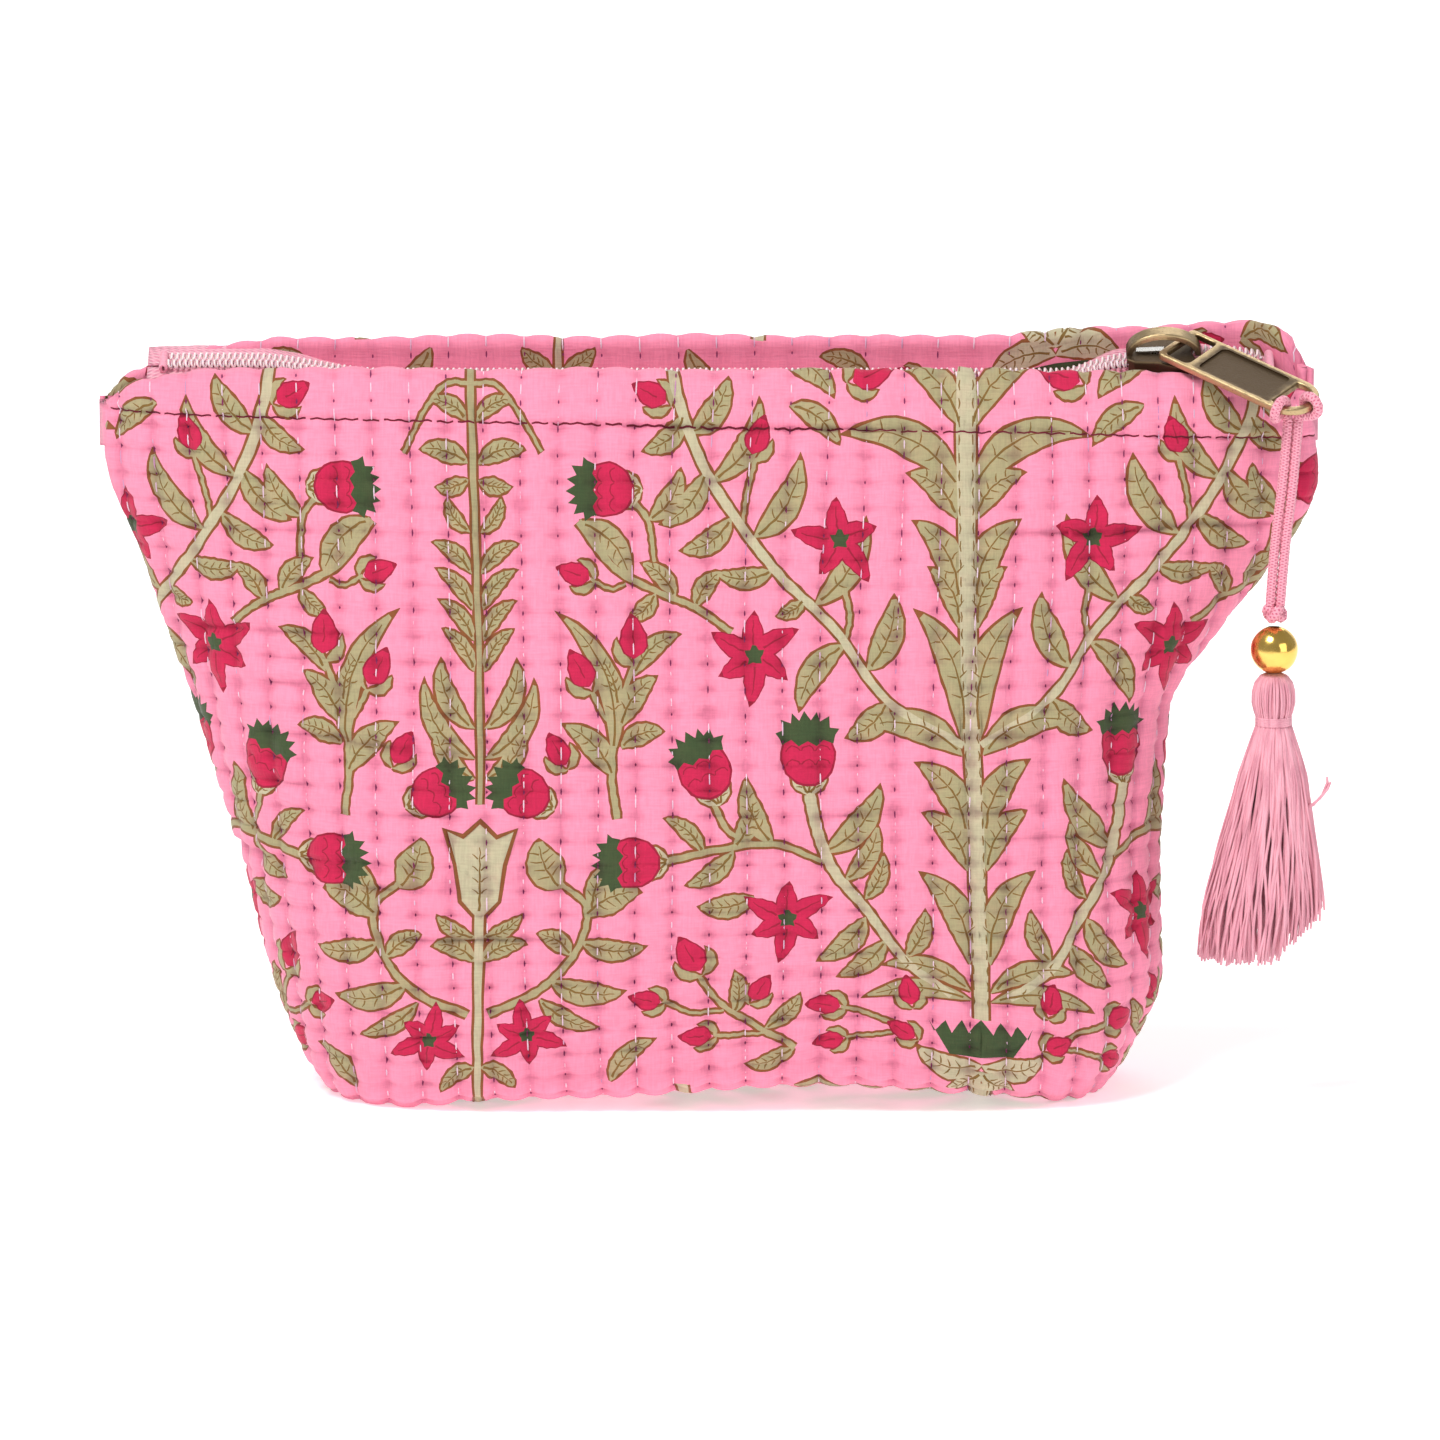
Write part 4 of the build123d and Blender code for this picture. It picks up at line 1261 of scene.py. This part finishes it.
def coil(name, side):
    """One coil: a wire bent into flat loops, each round the next stitch of the tape."""
    turns = int((CHAIN_RIGHT - CHAIN_LEFT) / COIL_TURN)
    t = np.arange(0, turns * 8 + 1) / 8
    angle = 2 * math.pi * t
    x = CHAIN_LEFT + COIL_TURN * (t + 0.10 * np.sin(2 * angle)) + (0 if side < 0 else COIL_TURN / 2)
    middle = along(COIL_SPREAD, x - SLIDER_X)
    across = side * (middle - 0.98 * np.cos(angle))
    line = on_chain(x, across, 0.30 + 0.62 * np.sin(angle)) * MM
    rows = rings_on((line, t), 5, COIL_WIRE * MM)
    return grid_mesh(name, rows, closed_across=True, capped=True)


def tape(name, side):
    """One woven tape, from under its coil to the turned-in cloth that it is sewn to."""
    rows = []
    xs = np.arange(CHAIN_LEFT - 4, CHAIN_RIGHT + 3.01, 1.5)
    for x in xs:
        near = max(0.45, float(along(COIL_SPREAD, x - SLIDER_X)) - 1.0) if x > SLIDER_X - 1.5 else 0.45
        open_end = np.clip((x - 90) / 8, 0, 1)
        sink = float(sunk(np.array(x)))
        if side < 0:
            far = np.array([-9.4 + 0.9 * sink, 141.6 - 0.6 * sink])
        else:
            far = np.array([5.7, 148.9 + 2.6 * open_end - 5.2 * sink])
        if x < -104 or x > 106:
            squeeze = min(1.0, (abs(x) - (104 if x < 0 else 106)) / 9)
            far[0] += (-side) * 2.2 * squeeze
        edge_a = on_chain(np.array(x), side * near, -0.92)[1:]
        edge_b = on_chain(np.array(x), side * max(near + 1.2, 5.0 - 1.6 * sink), -0.92)[1:]
        run = []
        for t in np.linspace(0, 1, TAPE_ROWS):
            point = (1 - t) ** 2 * edge_a + 2 * t * (1 - t) * edge_b + t * t * far
            run.append((x, point[0], point[1] + 0.05 * math.sin(x * 0.9) * t))
        rows.append(run)
    rows = np.array(rows) * MM
    across = np.linspace(0, TAPE_WIDE, TAPE_ROWS)
    uvs = np.stack([np.broadcast_to(across, rows.shape[:2]),
                    np.broadcast_to((xs * MM)[:, None], rows.shape[:2])], axis=2)
    return thickened(grid_mesh(name, rows[::-side], uvs=uvs[::-side]), 0.45, -1)


def zip_cloth():
    finish = Finish("woven zip tape", Roughness=0.7, Sheen_Weight=0.25)
    twill = finish.node("TexWave", {"bands_direction": "DIAGONAL"}, {
        "Vector": finish.place((1, 1, 1), "run"), "Scale": 420.0, "Distortion": 0.4})
    ribs = finish.node("TexWave", {"bands_direction": "X"}, {
        "Vector": finish.place((1, 1, 1), "run"), "Scale": 180.0})
    tint = finish.blend(twill, (0.72, 0.24, 0.36), (0.88, 0.40, 0.50))
    finish.feed(Base_Color=finish.blend(finish.fade(ribs, 0.80, 0.98, 0.0, 0.5), tint, (0.93, 0.66, 0.70)))
    finish.relief(twill + ribs, 0.00014)
    return finish


def nylon():
    finish = Finish("nylon coil", Roughness=0.38, Subsurface_Weight=0.15, Subsurface_Scale=0.002)
    cloudy = finish.noise(500.0, 2)
    finish.feed(Base_Color=finish.blend(cloudy, (0.90, 0.66, 0.70), (0.95, 0.82, 0.83)),
                Roughness=finish.fade(cloudy, 0.3, 0.7, 0.30, 0.48))
    return finish


zip_weave, coil_nylon = zip_cloth(), nylon()
for side, name in SIDES:
    woven = tape("zip_tape_" + name + "_woven", side)
    fit(woven, zip_weave, "bag", "zip_tape_" + name)
    name + "_panel_cloth"
    0.0018 if side < 0 else 0.0020
    wound = coil("zip_coil_" + name + "_wound", side)
    fit(wound, coil_nylon, "bag", "zip_coil_" + name)


def bar_tack(name, x):
    """A bar of thread wound over the end of the chain."""
    t = np.linspace(0, TACK_TURNS, TACK_TURNS * 12 + 1)
    angle = 2 * math.pi * t
    across = -2.7 + 5.4 * t / TACK_TURNS
    line = on_chain(x + 0.62 * np.cos(angle), across, 0.15 + 0.95 * np.sin(angle)) * MM
    rows = rings_on(even_line(line, 0.0002), 6, 0.33 * MM)
    return grid_mesh(name, rows, closed_across=True, capped=True)


def tack_thread():
    finish = Finish("pink tack thread", Roughness=0.55, Sheen_Weight=0.3)
    twist = finish.noise(3000.0, 2)
    finish.feed(Base_Color=finish.blend(twist, (0.78, 0.26, 0.38), (0.93, 0.45, 0.56)))
    finish.relief(twist, 0.00006)
    return finish


tacks = tack_thread()
for name, x in (("left", CHAIN_LEFT - 0.7), ("right", CHAIN_RIGHT + 1.5)):
    sewn = bar_tack("zip_end_tack_" + name + "_thread", np.array(x))
    fit(sewn, tacks, "bag", "zip_end_tack_" + name)

# ---- slider and pull tab -----------------------------------------------------------------------
# Die-cast, plated in antique brass: the recesses stay dark and the handled edges are rubbed bright.
# A bright spring leaf sits under the crown.
PIVOT = Vector((93, -3.81924, 150.33)) * MM
TAB_ALONG = Vector((0.760406, -0.58372, -0.284699))
TAB_ACROSS = Vector((0.649448, 0.683448, 0.33334))
TAB_OUT = Vector((0, -0.4384, 0.8988))


def antique_brass(name, along_way, across_way, out_way, origin, rubbed):
    """Antique brass whose rubbed places are given by the piece's own directions."""
    finish = Finish(name, Metallic=1.0, Roughness=0.42)
    spot = finish.node("TexCoord", out="Object")
    rel = finish.node("VectorMath", {"operation": "SUBTRACT"}, {0: spot, 1: tuple(origin)})
    parts = [finish.node("VectorMath", {"operation": "DOT_PRODUCT"}, {0: rel, 1: tuple(way)}, out=1)
             for way in (along_way, across_way, out_way)]
    cloudy = finish.noise(420.0, 4, 0.6)
    specks = finish.noise(2600.0, 3, 0.7)
    bright = rubbed(finish, *parts) + (cloudy - 0.5) * 0.7
    tone = finish.blend(finish.fade(bright, 0.2, 0.95), (0.115, 0.078, 0.045), (0.50, 0.37, 0.20))
    tone = finish.blend(finish.fade(specks, 0.60, 0.68, 0.0, 0.55), tone, (0.045, 0.032, 0.022))
    finish.feed(Base_Color=tone, Roughness=finish.fade(bright, 0.2, 0.9, 0.52, 0.30))
    finish.relief(specks + cloudy, 0.00008)
    return finish


def tab_rubbed(finish, far, aside, up):
    """Bright along the tab's sides, round its window and over its nose."""
    sides = finish.fade(finish.math("ABSOLUTE", aside), 0.0046, 0.0054)
    nose = finish.fade(far, 0.0262, 0.0285)
    root = finish.fade(far, 0.0085, 0.0065)
    return sides + nose + root * 0.6 + finish.fade(up, 0.0006, 0.00074, 0.0, 0.30)


def crown_brighter_upwards(finish, far, aside, up):
    """Brighter the higher it stands, over the top of the crown and the slider's shoulders."""
    return finish.fade(up, 0.0022, 0.0070, 0.12, 0.85)


SLIDER_ALONG, SLIDER_ACROSS = Vector((1, 0, 0)), Vector((0, 0.8988, 0.4384))
SLIDER_AT = Vector((90, -2, 146.6)) * MM
tab_brass = antique_brass("antique brass tab", TAB_ALONG, TAB_ACROSS, TAB_OUT, PIVOT, tab_rubbed)
slider_brass = antique_brass("antique brass slider", SLIDER_ALONG, SLIDER_ACROSS, TAB_OUT, SLIDER_AT,
                             crown_brighter_upwards)
spring = Finish("bright spring steel", Metallic=1.0, Roughness=0.25)
brushed = spring.noise(1.0, 2, at=spring.place((300, 6000, 6000)))
spring.feed(Base_Color=spring.blend(brushed, (0.50, 0.49, 0.46), (0.78, 0.77, 0.74)))
tab_brass.dress(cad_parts["pull_tab"])
slider_brass.dress(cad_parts["slider_body"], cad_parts["slider_crown"])
spring.dress(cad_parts["slider_lock_spring"])

# ---- hitch and knot ----------------------------------------------------------------------------
# The cord's fold is looped twice over the tab's nose. Below the strands it is tied in one tight
# overhand knot that stops the bead.
NOSE_AT, NOSE_R, TURN_R = 28.55, 5.0, 2.0


def turn_points(angle, side):
    """One turn of the cord round the nose, which comes up behind it from the strand below."""
    angle = math.radians(angle)
    radial = TAB_ALONG * math.cos(angle) + TAB_ACROSS * math.sin(angle)
    middle = PIVOT / MM + TAB_ALONG * NOSE_AT + radial * NOSE_R
    start = Vector((115.19 + 0.98 * side, -22.67, 137.46))
    points = [start, start + Vector((0.05 * side, 0.1, 1.2))]
    first = math.radians(-150 if side < 0 else -60)
    for k in range(14):
        turn = first + math.radians(26) * k
        aside = TAB_ALONG * -math.sin(angle) + TAB_ACROSS * math.cos(angle)
        points.append(middle + TURN_R * (math.cos(turn) * radial + math.sin(turn) * TAB_OUT)
                      + aside * (0.10 * (k - 6)))
    return [point * MM for point in points]


def joined(name, pieces):
    """Several meshes made into one piece."""
    only(*pieces)
    bpy.ops.object.join()
    whole = bpy.context.object
    whole.name = name
    return whole


turns = [braid("turn", turn_points(angle, side))[0] for angle, side in ((-78, -1), (4, 1))]
fit(joined("cord_hitch_braid", turns), cord_finish, "pull", "cord_hitch")

KNOT = Vector((111.95, -23.2, 99.15))
KNOT_THICK = 1.85
knot_line = [(KNOT + Vector((0.60 * (math.sin(t) + 2 * math.sin(2 * t)),
                             0.55 * (math.cos(t) - 2 * math.cos(2 * t)),
                             -1.05 * math.sin(3 * t)))) * MM for t in np.linspace(0, 2 * math.pi, 22)]
knot, _ = braid("cord_knot_tied", knot_line, KNOT_THICK * MM, 6)
fit(knot, cord_finish, "tassel", "cord_knot")

# ---- gold bead ---------------------------------------------------------------------------------
# A hollow plated ball with a hole for the cord, slightly uneven from plating.
BEAD_AT, BEAD_R, BEAD_HOLE = Vector((111.9, -23.2, 91.8)) * MM, 4.75 * MM, 1.2 * MM
bpy.ops.object.select_all(action="DESELECT")
bpy.ops.mesh.primitive_uv_sphere_add(segments=56, ring_count=36, radius=BEAD_R, location=BEAD_AT)
bead = bpy.context.object
bead.name = "gold_bead_plated"
bpy.ops.object.transform_apply(location=True, rotation=True, scale=True)
for vert in bead.data.vertices:
    vert.select = math.hypot(vert.co.x - BEAD_AT.x, vert.co.y - BEAD_AT.y) < BEAD_HOLE
for part in (*bead.data.edges, *bead.data.polygons):
    part.select = all(bead.data.vertices[i].select for i in part.vertices)
bpy.ops.object.mode_set(mode="EDIT")
bpy.ops.mesh.delete(type="VERT")
bpy.ops.mesh.select_all(action="DESELECT")
bpy.ops.mesh.select_non_manifold(extend=False)
bpy.ops.mesh.bridge_edge_loops()
bpy.ops.mesh.select_all(action="SELECT")
bpy.ops.mesh.normals_make_consistent(inside=False)
bpy.ops.object.mode_set(mode="OBJECT")
for vert in bead.data.vertices:
    rel = (vert.co - BEAD_AT) / MM
    uneven = math.sin(1.3 * rel.x + 0.7 * rel.z) + math.sin(1.1 * rel.y - 0.9 * rel.z)
    vert.co += (vert.co - BEAD_AT) * 0.006 * uneven
bpy.ops.object.shade_smooth_by_angle(angle=math.radians(40))
gold = Finish("gold plate", Metallic=1.0, Roughness=0.16)
cloudy = gold.noise(180.0, 3)
gold.feed(Base_Color=gold.blend(cloudy, (0.78, 0.45, 0.07), (0.98, 0.70, 0.22)),
          Roughness=gold.fade(cloudy, 0.3, 0.7, 0.12, 0.28))
gold.relief(cloudy, 0.00018)
fit(bead, gold, "tassel", "gold_bead")

# ---- tassel ------------------------------------------------------------------------------------
# A hank of fine pink cotton yarns folded over the cord: the fold makes the round head, a few turns
# of the same yarn bind the neck, and the cut ends hang as the skirt.
TASSEL = Vector((111.9, -23.2, 0))
HEAD = ((87.0, 1.4), (86.4, 2.7), (85.2, 3.6), (83.4, 4.1), (81.2, 4.15), (79.6, 3.8), (78.3, 3.35),
        (77.4, 3.1))
SKIRT = ((77.0, 0, 3.2, 3.0), (74, 0, 4.3, 4.0), (66, -0.2, 6.9, 5.8), (50, -0.9, 10.0, 7.6),
         (39, -1.5, 11.8, 8.3), (29, -2.4, 11.6, 8.0))
HEAD_YARNS, SKIRT_YARNS = 72, 420
SKIRT_TOP = 77.2
yarn_chance = random.Random(7)


def yarns(name, lines, thick, sides=5):
    """Many yarns in one mesh, each a thin tube that narrows at its cut end."""
    verts, faces = [], []
    for line in lines:
        line = np.asarray(line) * MM
        rows = rings_on((line, np.linspace(0, 1, len(line))), sides,
                        lambda turn, far: np.ones(sides) * thick / 2 * MM * (1 - 0.25 * far ** 6))
        faces += tube_faces(len(verts), len(line), sides)
        verts += rows.reshape(-1, 3).tolist()
    return new_piece(name, verts, faces)


def cotton_yarn():
    finish = Finish("pink cotton yarn", Roughness=0.72, Sheen_Weight=0.35, Sheen_Roughness=0.5)
    clumps = finish.noise(1.0, 3, at=finish.place((700, 700, 45)))
    fuzz = finish.noise(2600.0, 3)
    tint = finish.blend(finish.fade(clumps, 0.32, 0.68), (0.60, 0.19, 0.27), (0.86, 0.38, 0.47))
    finish.feed(Base_Color=finish.blend(fuzz * 0.45, tint, (0.93, 0.52, 0.60)))
    finish.relief(fuzz, 0.00008)
    return finish


yarn = cotton_yarn()
head_lines = []
for k in range(HEAD_YARNS):
    turn = 2 * math.pi * (k + yarn_chance.uniform(-0.25, 0.25)) / HEAD_YARNS
    twist = yarn_chance.uniform(-0.12, 0.12)
    wide = yarn_chance.uniform(0.95, 1.03)
    head_lines.append([TASSEL + Vector((wide * r * math.cos(turn + twist * (87 - z) / 10),
                                        wide * r * math.sin(turn + twist * (87 - z) / 10), z))
                       for z, r in HEAD])
core_rows = [[TASSEL + Vector((0.93 * r * math.cos(t), 0.93 * r * math.sin(t), z))
              for t in np.linspace(0, 2 * math.pi, 40, endpoint=False)] for z, r in HEAD[::-1]]
core = grid_mesh("head_core", np.array(core_rows) * MM, closed_across=True, capped=True)
head = joined("tassel_head_wound", [yarns("head", head_lines, 0.46), core])
binding = [TASSEL + Vector((3.45 * math.cos(2 * math.pi * t), 3.35 * math.sin(2 * math.pi * t),
                            76.6 + 0.34 * t)) for t in np.linspace(0, 5.4, 160)]
neck = yarns("tassel_neck_binding_wound", [binding], 0.55, 7)

skirt_lines = []
for k in range(SKIRT_YARNS):
    ring = math.sqrt(yarn_chance.uniform(0.12, 1)) if k % 2 else yarn_chance.uniform(0.9, 1.0)
    turn = yarn_chance.uniform(0, 2 * math.pi)
    drift, sway = yarn_chance.uniform(-0.28, 0.28), yarn_chance.uniform(0, 6.28)
    end = 28.8 + yarn_chance.uniform(0, 1.8) + 11.5 * max(0, math.cos(turn + drift) * ring - 0.05) ** 1.3
    stray = yarn_chance.random() > 0.965
    line = []
    for t in np.linspace(0, 1, 15):
        z = SKIRT_TOP + (end - SKIRT_TOP) * t
        dx, hx, hy = (along(tuple((s[0], s[n]) for s in SKIRT[::-1]), z) for n in (1, 2, 3))
        out = ring * (1 + (0.10 * t if stray else 0) + 0.05 * math.sin(5 * t + sway) * t)
        a = turn + drift * t + 0.06 * math.sin(7 * t + sway)
        line.append(TASSEL + Vector((dx + out * hx * math.cos(a) + 0.35 * math.sin(9 * t + sway) * t,
                                     out * hy * math.sin(a), z)))
    skirt_lines.append(line)
# two cut ends stand away from the skirt
for loose in (((118.3, -25.5, 60.5), (119.6, -25.9, 60.9), (121.2, -26.2, 62.4), (122.6, -26.3, 64.2),
               (123.2, -26.4, 65.6)),
              ((118.4, -25.3, 60.1), (119.9, -25.6, 60.9), (121.6, -26.0, 62.9), (122.6, -26.0, 65.4),
               (122.5, -26.2, 66.6))):
    skirt_lines.append([Vector(p) for p in loose])
skirt = yarns("tassel_skirt_yarns", skirt_lines, 0.62)
for piece, node in ((head, "tassel_head"), (neck, "tassel_neck_binding"), (skirt, "tassel_skirt")):
    fit(piece, yarn, "tassel", node)
for strand, path, name, side in strands:
    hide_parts("cord_strand_" + name)
    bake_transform(strand)
    [tuple(p) for p in path[::8]] + [tuple(path[-1])]
    [knot, bead, head, neck] if side < 0 else []

# ---- table and light ---------------------------------------------------------------------------
# A pale sweep of paper that runs up behind the bag, a broad window light from the upper left, a
# weaker one from the right, and a pale room.
def paper_sweep():
    across, rows = np.linspace(-4, 4, 9), []
    for run in np.linspace(0, 1, 25):
        y = -4 + 8 * min(run / 0.7, 1)
        z = 0.0 if run < 0.7 else 3.2 * ((run - 0.7) / 0.3) ** 2
        rows.append([(x, y, z - 0.0002) for x in across])
    piece = grid_mesh("paper_sweep", rows)
    finish = Finish("pale paper", Roughness=0.9, Base_Color=(0.93, 0.93, 0.93, 1),
                    Emission_Color=(1, 1, 1, 1), Emission_Strength=0.42)
    finish.dress(piece)
    return piece


paper_sweep()
for name, place, size, power, tint in (
        ("window", (-0.7, -0.9, 1.9), 0.8, 37, (1.0, 0.985, 0.96)),
        ("far wall", (1.5, -1.4, 0.7), 1.2, 8, (0.97, 0.985, 1.0)),
        ("back window", (0.3, 1.4, 1.5), 1.0, 9, (1.0, 1.0, 1.0))):
    lamp = bpy.data.lights.new(name, "AREA")
    lamp.energy, lamp.size, lamp.color = power, size, tint
    holder = bpy.data.objects.new(name, lamp)
    holder.location = place
    holder.rotation_euler = (Vector((0, 0, 0.07)) - Vector(place)).to_track_quat("-Z", "Y").to_euler()
    bpy.context.collection.objects.link(holder)
room = bpy.data.worlds.new("pale room")
room.use_nodes = True
room.node_tree.nodes["Background"].inputs["Color"].default_value = (1.0, 1.0, 1.0, 1)
room.node_tree.nodes["Background"].inputs["Strength"].default_value = 0.34
bpy.context.scene.world = room
